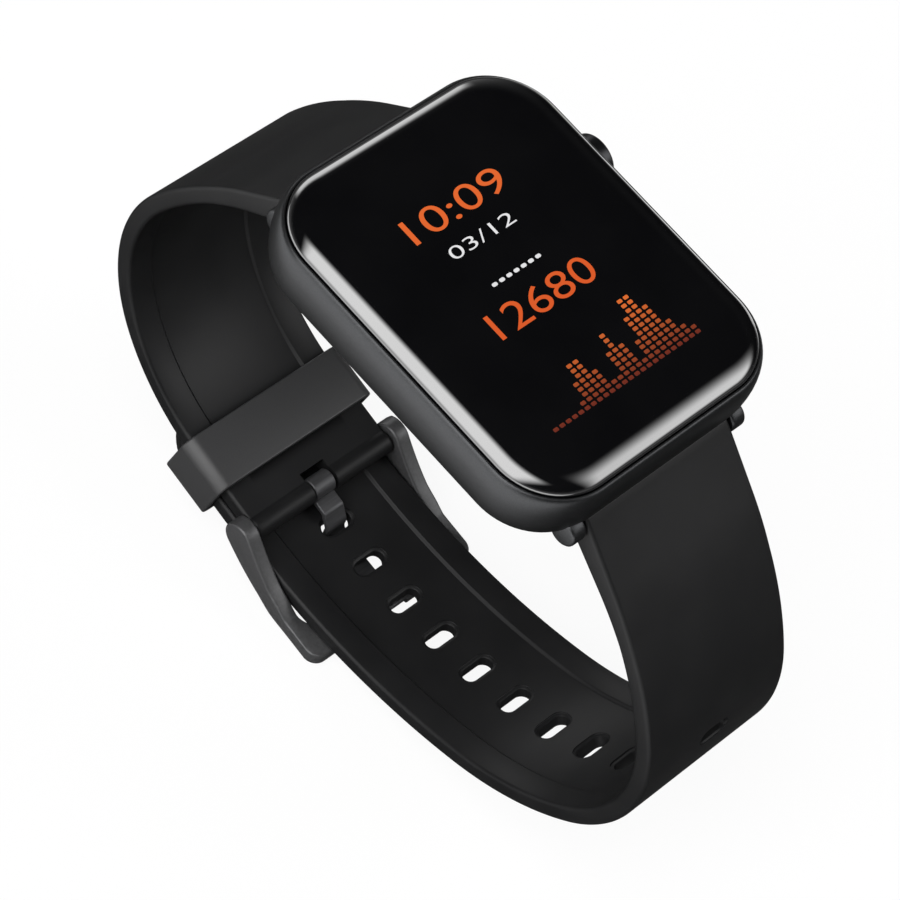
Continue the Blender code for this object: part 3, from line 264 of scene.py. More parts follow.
quarter = [math.pi / 2 * k / 14 for k in range(15)]
rim = RIM_INSET + RIM_WIDTH
rows = [case_ring(rim, LEDGE_TOP)]
for a in quarter[::3]:
    rows.append(case_ring(rim - RIM_ROUND * (1 - math.cos(a)), SEAM_Z - RIM_ROUND * (1 - math.sin(a))))
for a in reversed(quarter):
    rows.append(case_ring(RIM_INSET * (1 - math.cos(a)), WIDEST_Z + (SEAM_Z - WIDEST_Z) * math.sin(a)))
for a in quarter[1:]:
    rows.append(case_ring(BASE_INSET * (1 - math.cos(a)), WIDEST_Z - (WIDEST_Z - BASE_Z) * math.sin(a)))
cavity = CAVITY_X, CAVITY_Y, CAVITY_CORNER
rows += [rounded(*(side + COVER_SEAT for side in cavity), z) for z in (BASE_Z, COVER_SEAT_Z)]
rows += [rounded(*cavity, z) for z in (COVER_SEAT_Z, LEDGE_LOW)]
rows += [case_ring(rim + LEDGE_WIDTH, z) for z in (LEDGE_LOW, LEDGE_TOP)]
case = put("case_body", skin("case_body", rows, ring=True))
hollow = [(CAVITY_X - CUT_OVER, STEM_BORE), (RECESS_X, STEM_BORE)]
hollow += [(RECESS_X, RECESS_RADIUS), (CASE_X + CUT_OVER, RECESS_RADIUS)]
recess = put("button_recess", skin("button_recess", turned(hollow, BUTTON_Y, BUTTON_Z)))
cut(case, recess)

anodised = Finish("anodised_case", (0.045, 0.046, 0.048), 0.38, metallic=0.9)
blast = anodised.grain(0.12 * MM)
anodised.mottle((0.038, 0.039, 0.041), (0.052, 0.053, 0.055), blast)
anodised.set("Roughness", 0.33 + 0.1 * blast)
anodised.relief(blast, 0.008 * MM)
settle(case, anodised, 40)
drop(recess)
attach(case, "case")
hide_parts("case_frame")

for side, clock in ((1, 12), (-1, 6)):
    outline = []
    for k in range(29):
        angle = LUG_WRAP * (k / 28 - 0.5)
        outline.append((PIN_Y + LUG_RADIUS * math.cos(angle), PIN_Z + LUG_RADIUS * math.sin(angle)))
    outline += [(LUG_ROOT_Y, PIN_Z + LUG_ROOT_RISE), (LUG_ROOT_Y, PIN_Z - LUG_ROOT_DROP)]
    outline = [(side * y, z) for y, z in outline]
    for sign, hand in ((-1, "left"), (1, "right")):
        name = f"lug_{clock}_{hand}"
        lug = put(name, skin(name, slab(outline, sign * LUG_NEAR, sign * LUG_FAR)))
        soft = lug.modifiers.new("soft_edges", "BEVEL")
        soft.width, soft.segments, soft.angle_limit = LUG_EDGE, 3, math.radians(40)
        soft.limit_method, soft.use_clamp_overlap = "ANGLE", False
        settle(lug, anodised)
        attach(lug, "case")


# Inside stack, motor, seals and back
# These are bought pieces and mouldings that close or fill the case: boards, shield, battery pouch,
# coin motor, gasket, screws, rear cover and sensor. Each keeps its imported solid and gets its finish.
def plain(name, colour, roughness, grain, spread, depth, stretch=None, **constant):
    """A finish of one colour with grain in its tone, gloss and relief; stretch makes it brushed."""
    made = Finish(name, colour, roughness, **constant)
    speck = made.grain(grain, 2.0, stretch)
    made.mottle([c * (1 - spread) for c in colour], [min(1.0, c * (1 + spread)) for c in colour], speck)
    made.set("Roughness", (roughness - 0.05) + 0.1 * speck)
    made.relief(speck, depth)
    return made


def dress(names, finish):
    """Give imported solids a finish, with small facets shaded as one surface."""
    for name in names:
        node = nodes[name]
        node.data.materials.clear()
        node.data.materials.append(finish.material)
        node.data.shade_smooth()
        weld = node.modifiers.new("weld", "WELD")
        weld.merge_threshold = 1e-6
        split = node.modifiers.new("crease", "EDGE_SPLIT")
        split.split_angle = math.radians(35)


def fade(value, dark, bright):
    """Rises softly from nothing at one value to one at another."""
    return value.node("ShaderNodeMapRange", {"interpolation_type": "SMOOTHSTEP"},
                      {"Value": value, "From Min": dark, "From Max": bright})


BRUSHED = (0.08, 1.0, 1.0)
dress(["glass_adhesive"], plain("adhesive", (0.02, 0.02, 0.02), 0.7, 0.2 * MM, 0.2, 0.01 * MM))
dress(["display_panel"], plain("display_panel", (0.01, 0.01, 0.012), 0.2, 2 * MM, 0.1, 0.002 * MM))

board = Finish("circuit_board", (0.01, 0.09, 0.05), 0.45)
lands = {"Vector": board.place, "Scale": 1 / (1.3 * MM)}
gaps = board.base.node("ShaderNodeTexVoronoi", {"feature": "DISTANCE_TO_EDGE"}, lands, "Distance")
tracks = fade(gaps, 0.12, 0.06)
board.mottle((0.006, 0.07, 0.035), (0.03, 0.16, 0.08), tracks)
board.set("Roughness", 0.5 - 0.15 * tracks)
board.relief(tracks, 0.02 * MM)
dress(["main_board", "sensor_board"], board)

shield = plain("shield_tin", (0.6, 0.6, 0.6), 0.35, 0.2 * MM, 0.1, 0.004 * MM, BRUSHED, metallic=1.0)
dress(["board_shield"], shield)
foil = plain("battery_foil", (0.55, 0.56, 0.58), 0.42, 1.2 * MM, 0.1, 0.03 * MM, metallic=0.6)
dress(["battery"], foil)
can = plain("motor_steel", (0.5, 0.5, 0.52), 0.33, 0.2 * MM, 0.1, 0.004 * MM, BRUSHED, metallic=1.0)
dress(["motor_can", "motor_lid", "motor_shaft"], can)
tungsten = plain("motor_weight", (0.3, 0.29, 0.28), 0.5, 0.15 * MM, 0.2, 0.01 * MM, metallic=0.9)
dress(["motor_rotor"], tungsten)
seal = plain("seal_rubber", (0.02, 0.02, 0.02), 0.75, 0.2 * MM, 0.2, 0.01 * MM)
dress(["rear_gasket", "button_o_ring"], seal)
dress(["rear_cover"], plain("rear_cover", (0.018, 0.018, 0.019), 0.42, 0.15 * MM, 0.25, 0.012 * MM))
screw = plain("screw_steel", (0.3, 0.3, 0.31), 0.32, 0.1 * MM, 0.15, 0.004 * MM, BRUSHED, metallic=1.0)
dress([f"rear_screw_{k}" for k in (1, 2, 3, 4)], screw)
dress(["sensor_window"], plain("sensor_window", (0.006, 0.006, 0.007), 0.1, 3 * MM, 0.1, 0.001 * MM))
chip = plain("sensor_chip", (0.2, 0.3, 0.2), 0.2, 0.4 * MM, 0.2, 0.005 * MM)
dress(["sensor_led_1", "sensor_led_2", "photodiode"], chip)
gold = plain("contact_gold", (0.83, 0.62, 0.25), 0.25, 0.3 * MM, 0.06, 0.003 * MM, metallic=1.0)
dress(["charge_contact_1", "charge_contact_2"], gold)
clip = plain("clip_steel", (0.4, 0.4, 0.41), 0.35, 0.1 * MM, 0.1, 0.004 * MM, BRUSHED, metallic=1.0)
dress(["button_clip"], clip)
dress(["button_switch"], plain("switch_body", (0.05, 0.05, 0.05), 0.5, 0.3 * MM, 0.2, 0.01 * MM))
drawn_grey = (0.55, 0.55, 0.56)
drawn = plain("spring_bar_steel", drawn_grey, 0.3, 0.1 * MM, 0.08, 0.003 * MM, BRUSHED, metallic=1.0)
for clock in (12, 6):
    pieces = (f"tube_{clock}", f"tip_{clock}_left", f"tip_{clock}_right")
    dress([f"spring_bar_{piece}" for piece in pieces], drawn)


# Springs in the spring bars
# Hard steel wire wound into a coil inside each bar's tube, pushing the two tips apart.
# Each coil is made as two halves, one on each side of the bar's middle.
COIL_REACH, COIL_RADIUS, COIL_WIRE, COIL_TURNS = 6.27 * MM, 0.42 * MM, 0.08 * MM, 4.0
wire_steel = plain("spring_steel", (0.45, 0.45, 0.47), 0.3, 0.1 * MM, 0.08, 0.003 * MM, metallic=1.0)


def coil_tree():
    """Geometry nodes that sweep a wire along a coil and lay it along X from a place."""
    tree = bpy.data.node_groups.new("coil", "GeometryNodeTree")
    for label, kind, way in (
        ("Geometry", "NodeSocketGeometry", "INPUT"), ("Place", "NodeSocketVector", "INPUT"),
        ("Finish", "NodeSocketMaterial", "INPUT"), ("Geometry", "NodeSocketGeometry", "OUTPUT"),
    ):
        tree.interface.new_socket(label, in_out=way, socket_type=kind)
    kinds = {
        "inside": "NodeGroupInput", "result": "NodeGroupOutput", "coil": "GeometryNodeCurveSpiral",
        "wire": "GeometryNodeCurvePrimitiveCircle", "swept": "GeometryNodeCurveToMesh",
        "laid": "GeometryNodeTransform", "solid": "GeometryNodeRealizeInstances",
        "painted": "GeometryNodeSetMaterial",
    }
    made = {key: tree.nodes.new(kind) for key, kind in kinds.items()}
    for key, socket, value in (
        ("coil", "Resolution", 20), ("coil", "Rotations", COIL_TURNS), ("coil", "Height", COIL_REACH),
        ("coil", "Start Radius", COIL_RADIUS), ("coil", "End Radius", COIL_RADIUS),
        ("wire", "Resolution", 8), ("wire", "Radius", COIL_WIRE), ("swept", "Fill Caps", True),
        ("laid", "Rotation", (0, math.pi / 2, 0)),
    ):
        made[key].inputs[socket].default_value = value
    for source, out, target, into in (
        ("coil", "Curve", "swept", "Curve"), ("wire", "Curve", "swept", "Profile Curve"),
        ("swept", "Mesh", "laid", "Geometry"), ("inside", "Place", "laid", "Translation"),
        ("laid", "Geometry", "solid", "Geometry"), ("solid", "Geometry", "painted", "Geometry"),
        ("inside", "Finish", "painted", "Material"), ("painted", "Geometry", "result", "Geometry"),
    ):
        tree.links.new(made[source].outputs[out], made[target].inputs[into])
    return tree


def grow(piece, tree, given, finish):
    """Run a geometry node tree on a piece with its named inputs, and leave a plain mesh."""
    change = piece.modifiers.new(tree.name, "NODES")
    change.node_group = tree
    for socket in tree.interface.items_tree:
        if socket.in_out == "INPUT" and socket.name in given:
            change[socket.identifier] = given[socket.name]
    settle(piece, finish)


winding = coil_tree()
for side, clock in ((1, 12), (-1, 6)):
    for start, hand in ((-COIL_REACH, "left"), (0.0, "right")):
        name = f"coil_{clock}_{hand}"
        coil = put(name, bpy.data.meshes.new(name))
        middle = (0, side * PIN_Y, PIN_Z)
        grow(coil, winding, {"Place": (start, *middle[1:]), "Finish": wire_steel.material}, wire_steel)
        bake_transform(coil)
        if hand == "left":
            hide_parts(f"spring_bar_spring_{clock}")


# Cover glass
# One piece of toughened glass, ground to a deep curve all round and printed black underneath.
# It is glued into the rim, a little proud of it, so a thin dark seam runs round the edge.
GLASS_FOOT, GLASS_WALL, GLASS_LIP, GLASS_TOP = 8.0 * MM, 8.6 * MM, 9.0 * MM, 10.38 * MM
GLASS_GAP, GLASS_BEVEL = 0.1 * MM, 4.2 * MM
rows = [case_ring(rim + GLASS_GAP, z) for z in (GLASS_FOOT, GLASS_WALL)]
for k in range(41):
    a = math.pi / 2 * k / 40
    inset = rim + GLASS_GAP + GLASS_BEVEL * (1 - math.cos(a))
    rows.append(case_ring(inset, GLASS_LIP + (GLASS_TOP - GLASS_LIP) * math.sin(a)))
black_glass = Finish("black_glass", (0.003, 0.003, 0.0035), 0.03, ior=1.5, coat_weight=1.0, coat_ior=1.9)
smear = black_glass.grain(9 * MM, 3.0)
black_glass.mottle((0.0025, 0.0025, 0.003), (0.0035, 0.0035, 0.004), smear)
black_glass.set("Roughness", 0.015 + 0.05 * smear)
glass = put("watch_glass", skin("watch_glass", rows), black_glass)
settle(glass, black_glass, 50)
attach(glass, "case")
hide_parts("cover_glass")


# Lit display
# The panel under the glass shows a plain face: the time, the date, a step count and hourly bars.
# Only its light is seen, so each lit shape is a thin film flush with the glass.
FILM_Z = GLASS_TOP + 0.004 * MM
FILM = 0.006 * MM


def lit(name, low, high, span):
    """A glowing finish that runs from one colour to another up the display."""
    made = Finish(name, (0.01, 0.01, 0.01), 0.08)
    low_y, high_y = span
    axes = made.base.node("ShaderNodeSeparateXYZ", {}, {"Vector": made.place}, "Y")
    share = (axes - low_y) * (1 / (high_y - low_y))
    flicker = made.grain(0.08 * MM)
    stops = [(0.0, (*low, 1.0)), (1.0, (*high, 1.0))]
    glow = made.base.node("ShaderNodeValToRGB", {"stops": stops}, {"Fac": share + 0.08 * (flicker - 0.5)})
    made.set("Emission Color", glow)
    made.set("Emission Strength", 1.0)
    return made


def show(piece):
    """Fix a lit film to the case, as a part of the display's picture."""
    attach(piece, "case")


def numerals(name, body, x_span, y_span, weight, finish):
    """Plain figures laid flat on the display, drawn out to fill a box."""
    face = bpy.data.curves.new(name, "FONT")
    face.body, face.size, face.offset, face.extrude = body, 4 * MM, weight, FILM / 2
    face.resolution_u = 8
    piece = bpy.data.objects.new(name, face)
    bpy.context.scene.collection.objects.link(piece)
    graph = bpy.context.evaluated_depsgraph_get()
    graph.update()
    mesh = bpy.data.meshes.new_from_object(piece.evaluated_get(graph))
    bpy.data.objects.remove(piece, do_unlink=True)
    corners = [[pick(v.co[axis] for v in mesh.vertices) for axis in (0, 1)] for pick in (min, max)]
    wide = (x_span[1] - x_span[0]) / (corners[1][0] - corners[0][0])
    tall = (y_span[1] - y_span[0]) / (corners[1][1] - corners[0][1])
    place = Matrix.Translation((x_span[0], y_span[0], FILM_Z + FILM / 2))
    stretch = Matrix.Diagonal((wide, tall, 1, 1))
    mesh.transform(place @ stretch @ Matrix.Translation((-corners[0][0], -corners[0][1], 0)))
    show(put(name, mesh, finish))


def repeat_tree(name):
    """Geometry nodes that set one shape on every point, turned so that its Z follows the facing."""
    tree = bpy.data.node_groups.new(name, "GeometryNodeTree")
    for label, kind, way in (
        ("Geometry", "NodeSocketGeometry", "INPUT"), ("Shape", "NodeSocketObject", "INPUT"),
        ("Finish", "NodeSocketMaterial", "INPUT"), ("Geometry", "NodeSocketGeometry", "OUTPUT"),
    ):
        tree.interface.new_socket(label, in_out=way, socket_type=kind)
    kinds = {
        "inside": "NodeGroupInput", "result": "NodeGroupOutput", "shape": "GeometryNodeObjectInfo",
        "facing": "GeometryNodeInputNamedAttribute", "turn": "FunctionNodeAlignRotationToVector",
        "copies": "GeometryNodeInstanceOnPoints", "solid": "GeometryNodeRealizeInstances",
        "painted": "GeometryNodeSetMaterial",
    }
    made = {key: tree.nodes.new(kind) for key, kind in kinds.items()}
    made["facing"].data_type = "FLOAT_VECTOR"
    made["facing"].inputs["Name"].default_value = "facing"
    made["turn"].axis = "Z"
    for source, out, target, into in (
        ("inside", "Geometry", "copies", "Points"), ("inside", "Shape", "shape", "Object"),
        ("shape", "Geometry", "copies", "Instance"), ("facing", "Attribute", "turn", "Vector"),
        ("turn", "Rotation", "copies", "Rotation"), ("copies", "Instances", "solid", "Geometry"),
        ("solid", "Geometry", "painted", "Geometry"), ("inside", "Finish", "painted", "Material"),
        ("painted", "Geometry", "result", "Geometry"),
    ):
        tree.links.new(made[source].outputs[out], made[target].inputs[into])
    return tree


def repeat(name, spots, facings, shape, finish):
    """Copies of a shape on points with facings, left as one plain mesh; the shape goes."""
    places = bpy.data.meshes.new(name)
    places.from_pydata(spots, [], [])
    facing = places.attributes.new("facing", "FLOAT_VECTOR", "POINT")
    for k, way in enumerate(facings):
        facing.data[k].vector = way
    piece = put(name, places)
    grow(piece, repeat_tree(name), {"Shape": shape, "Finish": finish.material}, finish)
    drop(shape)
    return piece


def tile(name, half_x, half_y, corner):
    return put(name, skin(name, [rounded(half_x, half_y, corner, z, steps=5) for z in (0, FILM)]))


FIGURE_SPAN, BAR_SPAN = (-5 * MM, 12 * MM), (-14.5 * MM, -7.5 * MM)
orange = lit("lit_orange", (0.68, 0.09, 0.012), (0.76, 0.13, 0.02), FIGURE_SPAN)
white = lit("lit_white", (0.74, 0.74, 0.75), (0.82, 0.82, 0.83), FIGURE_SPAN)
numerals("time_figures", "10:09", (-7.2 * MM, 5.5 * MM), (8.3 * MM, 11.2 * MM), -0.015 * MM, orange)
numerals("date_figures", "03/12", (-5.2 * MM, 3.2 * MM), (5.0 * MM, 6.4 * MM), -0.03 * MM, white)
numerals("step_figures", "12680", (-7.4 * MM, 5.9 * MM), (-4.2 * MM, -1.2 * MM), -0.015 * MM, orange)

DAY_X, DAY_Y, DAY_PITCH = -3.75 * MM, 0.9 * MM, 0.98 * MM
days = [(DAY_X + DAY_PITCH * k, DAY_Y, FILM_Z) for k in range(7)]
day_tile = tile("day_tile", 0.33 * MM, 0.2 * MM, 0.18 * MM)
show(repeat("day_marks", days, [(0, 0, 1)] * len(days), day_tile, white))

HOUR_X, HOUR_PITCH = -9.9 * MM, 0.85 * MM
CELL_Y, CELL_PITCH = -14.2 * MM, 0.62 * MM
BUSY_HOURS = ((7.5, 1.8), (13, 1.5), (18.5, 2.6))
EVENING, DAY_CELLS, EVENING_CELLS = 15, 8, 11
cells = []
for hour in range(24):
    busy = max(math.exp(-((hour - peak) / wide) ** 2) for peak, wide in BUSY_HOURS)
    for k in range(1 + round(busy * (EVENING_CELLS if hour > EVENING else DAY_CELLS))):
        cells.append((HOUR_X + HOUR_PITCH * hour, CELL_Y + CELL_PITCH * k, FILM_Z))
ember = lit("lit_ember", (0.13, 0.012, 0.004), (0.7, 0.14, 0.02), BAR_SPAN)
hour_tile = tile("hour_tile", 0.3 * MM, 0.2 * MM, 0.12 * MM)
show(repeat("hour_bars", cells, [(0, 0, 1)] * len(cells), hour_tile, ember))


# Straps
# Each half is moulded in one shot from matte black silicone, with a shallow channel down its inner
# face. A spring bar goes through the thick end; the buckle half ends round the buckle's bar.
STRAP_HALF, STRAP_EDGE = 10.0 * MM, 0.45 * MM
CHANNEL_BORDER, CHANNEL_DEPTH, CHANNEL_STEP = 3.3 * MM, 0.35 * MM, 0.4 * MM
CHANNEL_START, CHANNEL_STOP, CHANNEL_RUN = 13.0 * MM, 4.0 * MM, 2.0 * MM
ROLL, SOLID_HALF, PLAY = 1.4 * MM, 1.05 * MM, 0.25 * MM
SPRING_BAR_BORE, BUCKLE_BAR_BORE, BORE_REACH = 0.8 * MM, 0.75 * MM, 11.0 * MM
WINDOW_HALF, WINDOW_AHEAD, WINDOW_BEHIND = 1.7 * MM, 2.8 * MM, 2.0 * MM


class StrapLine:
    """Middle line of a strap half in (y, z): a straight run at the lug, four arcs and a straight end."""

    def __init__(self, side, leave, runs):
        self.side, self.leave = side, math.radians(leave)
        self.runs = [(r * MM, math.radians(a)) if r else (0, a * MM) for r, a in runs]
        self.length = sum(r * a if r else a for r, a in self.runs)

    def at(self, distance):
        u, z, angle = PIN_Y, PIN_Z, self.leave
        for k, (radius, amount) in enumerate(self.runs):
            span = radius * amount if radius else amount
            part = distance if k == len(self.runs) - 1 else min(distance, span)
            if radius:
                after = angle + part / radius
                u += radius * (math.sin(after) - math.sin(angle))
                z += radius * (math.cos(after) - math.cos(angle))
                angle = after
            else:
                u += part * math.cos(angle)
                z -= part * math.sin(angle)
            distance -= part
            if distance <= 0:
                break
        along = Vector((self.side * math.cos(angle), -math.sin(angle)))
        outward = Vector((self.side * math.sin(angle), math.cos(angle)))
        return Vector((self.side * u, z)), along, outward


def step(x):
    x = max(0.0, min(1.0, x))
    return x * x * (3 - 2 * x)


def section(half_width, half_thick, dent):
    """Cross section of the strap: soft edges, a flat outside and a channel of this depth inside."""
    edge = min(STRAP_EDGE, 0.98 * half_thick)
    corners = []
    for turn, sx, sy in QUARTERS:
        for k in range(6):
            a = (turn + k / 5) * math.pi / 2
            x = sx * (half_width - edge) + edge * math.cos(a)
            corners.append((x, sy * (half_thick - edge) + edge * math.sin(a)))
    foot = half_width - CHANNEL_BORDER + CHANNEL_STEP / 2
    shares = [k / 8 for k in range(9)]
    wall = [(foot - CHANNEL_STEP * share, -half_thick + dent * step(share)) for share in shares]
    other_wall = [(-x, height) for x, height in wall]
    return corners[:18] + other_wall + wall[::-1] + corners[18:]


def strap_rows(line, roll, channel_end, tail_corner):
    """Cross sections from the round lug end to a roll round the bar or to a tail with round corners."""
    lug_half, thin_half, taper = 1.5 * MM, 1.02 * MM, 14 * MM
    pitch, sliver = 0.5 * MM, 0.03 * MM
    stations = [-lug_half * math.sin(math.pi / 2 * k / 8) for k in range(8, 0, -1)]
    body_end = line.length - (roll or tail_corner)
    count = round(body_end / pitch)
    stations += [body_end * k / count for k in range(count)]
    if roll:
        stations += [line.length + roll * math.sin(math.pi * (k / 28 - 0.5)) for k in range(29)]
    else:
        stations += [body_end + tail_corner * math.sin(math.pi / 2 * k / 14) for k in range(15)]
    rows = []
    for s in stations:
        point, _, outward = line.at(s)
        half, width = thin_half + max(0.0, 1 - s / taper) * (lug_half - thin_half), STRAP_HALF
        if s < 0:
            half = math.sqrt(max(lug_half ** 2 - s ** 2, sliver ** 2))
        elif roll and s > body_end:
            bulge = math.sqrt(max(roll ** 2 - (s - line.length) ** 2, sliver ** 2))
            half = bulge if s > line.length else max(thin_half, bulge)
        elif s > body_end:
            width += math.sqrt(max(tail_corner ** 2 - (s - body_end) ** 2, 0.0)) - tail_corner
        dent = CHANNEL_DEPTH * step((s - CHANNEL_START) / CHANNEL_RUN)
        dent *= step((channel_end - s) / CHANNEL_RUN)
        spots = [(x, point + outward * h) for x, h in section(width, half, dent)]
        rows.append([(x, p.x, p.y) for x, p in spots])
    return rows


silicone = Finish("strap_silicone", (0.009, 0.009, 0.0094), 0.43, specular_ior_level=0.18)
skin_grain = silicone.grain(0.1 * MM)
bloom = silicone.grain(6 * MM)
silicone.mottle((0.008, 0.008, 0.0084), (0.01, 0.01, 0.0104), bloom)
silicone.set("Roughness", 0.35 + 0.1 * skin_grain + 0.06 * bloom)
silicone.relief(skin_grain, 0.006 * MM)

short_line = StrapLine(1, 40, [(0, 6.6), (40, 24), (19.5, 64), (23, 36), (30, 5), (0, 8.7)])
bar, bar_along, bar_outward = short_line.at(short_line.length)
arcs = [(40, 26), (18.6, 68), (32, 29), (66, 30), (0, 14.6)]
bare = StrapLine(-1, 38, [(0, 0.0)] + arcs)
bare_end, _, tail_outward = bare.at(bare.length)
clasp_stack = ROLL + SOLID_HALF + PLAY
lug_run = (clasp_stack - (bare_end - bar).dot(tail_outward)) / bare.at(0)[1].dot(tail_outward)
long_line = StrapLine(-1, 38, [(0, lug_run / MM)] + arcs)
long_end = long_line.at(long_line.length)[0]
under_bar = long_line.length - (long_end - bar).dot(-bar_along)


def round_bar(name, radius, reach, y, z):
    """A plain rod along X, to cut a bore with."""
    return put(name, skin(name, turned([(-reach, radius), (reach, radius)], y, z, 32)))


rows = strap_rows(short_line, ROLL, short_line.length - CHANNEL_STOP, None)
buckle_half = put("strap_buckle_half", skin("strap_buckle_half", rows))
bores = [round_bar("spring_bar_bore", SPRING_BAR_BORE, BORE_REACH, PIN_Y, PIN_Z)]
bores.append(round_bar("buckle_bar_bore", BUCKLE_BAR_BORE, BORE_REACH, bar.x, bar.y))
ahead, behind = bar + bar_along * WINDOW_AHEAD, bar - bar_along * WINDOW_BEHIND
over = bar_outward * WINDOW_AHEAD
window = [ahead + over, ahead - over, behind - over, behind + over]
bores.append(put("tongue_window", skin("tongue_window", slab(window, -WINDOW_HALF, WINDOW_HALF))))
for bore in bores:
    cut(buckle_half, bore)
settle(buckle_half, silicone, 25)
drop(*bores)
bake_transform(buckle_half)
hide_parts("strap_short")


# Slots in the holed half
# Twelve slots with softly sunk rims run down the holed half, moulded with it in the same silicone.
# The tongue goes through the first of them, and the far ones are for a smaller wrist.
SLOT_COUNT, SLOT_PITCH, SLOT_AHEAD = 12, 5.7 * MM, 4.4 * MM
SLOT_RADIUS, SLOT_STRAIGHT, TAIL_CORNER = 0.9 * MM, 1.05 * MM, 6 * MM
slot_hole = under_bar - SLOT_AHEAD


def slot_ring(extra, height):
    """Outline of a slot, wider by an extra all round, at a height over the strap's middle."""
    ring = []
    for sign in (1, -1):
        for k in range(13):
            a = math.pi * (k / 12 - 0.5)
            x = SLOT_STRAIGHT + (SLOT_RADIUS + extra) * math.cos(a)
            ring.append((sign * x, sign * (SLOT_RADIUS + extra) * math.sin(a), height))
    return ring


sunk = [(0.38, -3.0), (0.38, -0.56), (0.34, -0.52), (0.1, -0.46), (0.02, -0.4), (0.0, -0.3)]
sunk += [(0.0, 0.75), (0.12, 0.85), (0.16, 0.92), (0.16, 3.0)]
rows = [slot_ring(extra * MM, height * MM) for extra, height in sunk]
slot_cutter = put("slot_cutter", skin("slot_cutter", rows))
middles = [long_line.at(slot_hole - SLOT_PITCH * k) for k in range(SLOT_COUNT)]
spots = [(0, point.x, point.y) for point, _, _ in middles]
facings = [(0, outward.x, outward.y) for _, _, outward in middles]
slot_row = repeat("slot_row", spots, facings, slot_cutter, silicone)
rows = strap_rows(long_line, None, 2 * long_line.length, TAIL_CORNER)
holed_half = put("strap_holed_half", skin("strap_holed_half", rows))
bore = round_bar("spring_bar_bore", SPRING_BAR_BORE, BORE_REACH, -PIN_Y, PIN_Z)
cut(holed_half, bore)
cut(holed_half, slot_row)
settle(holed_half, silicone, 25)
drop(bore, slot_row)
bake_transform(holed_half)
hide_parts("strap_long")


# Keeper
# A loose loop moulded in silicone, a shade lighter than the strap, that holds the tail down.
# It slides along both halves where they lie on each other, and friction keeps it in place.
KEEPER_HALF, KEEPER_WALL, KEEPER_TURN, KEEPER_EDGE = 3.3 * MM, 0.9 * MM, 1.15 * MM, 0.22 * MM
KEEPER_BACK, KEEPER_ROOM_X, KEEPER_ROOM_Z = 8.2 * MM, 10.4 * MM, 2.85 * MM
CLASP_SLOPE = math.radians(11)
centre = bar - bar_along * KEEPER_BACK + bar_outward * clasp_stack / 2
keeper_way = Matrix.Translation((0, centre.x, centre.y)) @ Matrix.Rotation(CLASP_SLOPE, 4, "X")
turn_x = KEEPER_ROOM_X + KEEPER_WALL / 2 - KEEPER_TURN
turn_z = KEEPER_ROOM_Z + KEEPER_WALL / 2 - KEEPER_TURN
rows = []
for turn, sx, sy in QUARTERS:
    for k in range(11):
        a = (turn + k / 10) * math.pi / 2
        row = []
        for lap, su, sv in QUARTERS:
            for j in range(5):
                b = (lap + j / 4) * math.pi / 2
                radius = KEEPER_TURN + su * (KEEPER_WALL / 2 - KEEPER_EDGE) + KEEPER_EDGE * math.cos(b)
                along = sv * (KEEPER_HALF - KEEPER_EDGE) + KEEPER_EDGE * math.sin(b)
                x, z = sx * turn_x + radius * math.cos(a), sy * turn_z + radius * math.sin(a)
                row.append(keeper_way @ Vector((x, along, z)))
        rows.append(row)
keeper_rubber = Finish("keeper_silicone", (0.03, 0.03, 0.031), 0.45, specular_ior_level=0.45)
keeper_grain = keeper_rubber.grain(0.1 * MM)
keeper_rubber.mottle((0.027, 0.027, 0.028), (0.034, 0.034, 0.035), keeper_grain)
keeper_rubber.set("Roughness", 0.38 + 0.12 * keeper_grain)
keeper_rubber.relief(keeper_grain, 0.006 * MM)
keeper = put("keeper_loop", skin("keeper_loop", rows, ring=True))
settle(keeper, keeper_rubber)
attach(keeper, "keeper")
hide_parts("keeper")


# Buckle frame and bar
# The frame is cast steel coated satin black: two cranked arms joined by a front bar with a bed
# for the tongue. It turns on a plain steel bar that goes through the strap's rolled end.
ARM_IN, ARM_OUT, ARM_HALF = 10.15 * MM, 11.95 * MM, 1.22 * MM
ARM_TAPER, HEEL_MORE, TOE_LESS = 0.4, 0.75 * MM, 0.4 * MM
FRONT_AHEAD, KNEE_BACK = 13.6 * MM, 6.1 * MM
EDGE, FRONT_HALF, BAR_HALF, BED_DEPTH = 0.28 * MM, 1.6 * MM, 0.85 * MM, 1.1 * MM
OUTER_TURN, INNER_TURN, CORNER_SLOPE = 1.5 * MM, 2.2 * MM, 0.2
PIVOT_SEAT = 11.5 * MM
coated = Finish("buckle_metal", (0.07, 0.07, 0.072), 0.42, metallic=0.4)
peel = coated.grain(0.35 * MM)
coated.mottle((0.062, 0.062, 0.064), (0.078, 0.078, 0.08), peel)
coated.set("Roughness", 0.36 + 0.12 * peel)
coated.relief(peel, 0.006 * MM)


def strip(name, stations):
    """A closed bar through stations: two side points, a normal, its low and high face and edge radius."""
    rows = []
    for near, far, normal, low, high, edge in stations:
        across = (far - near).normalized()
        row = []
        for turn, side, face, su, sv in ((0, far, high, 1, 1), (1, near, high, -1, 1),
                                         (2, near, low, -1, -1), (3, far, low, 1, -1)):
            for k in range(5):
                a = (turn + k / 4) * math.pi / 2
                shift = across * (math.cos(a) - su) + normal * (math.sin(a) - sv)
                row.append(side + normal * face + shift * edge)
        rows.append(row)
    return skin(name, rows)


def beside(x, spot):
    return Vector((x, spot.x, spot.y))


def arm_half(share):
    """Half thickness of an arm at a share of its length: thick at the heel, thin at the toe."""
    heel = max(0.0, 1 - share / ARM_TAPER) * HEEL_MORE
    toe = max(0.0, 1 - (1 - share) / ARM_TAPER) * TOE_LESS
    return ARM_HALF + heel - toe


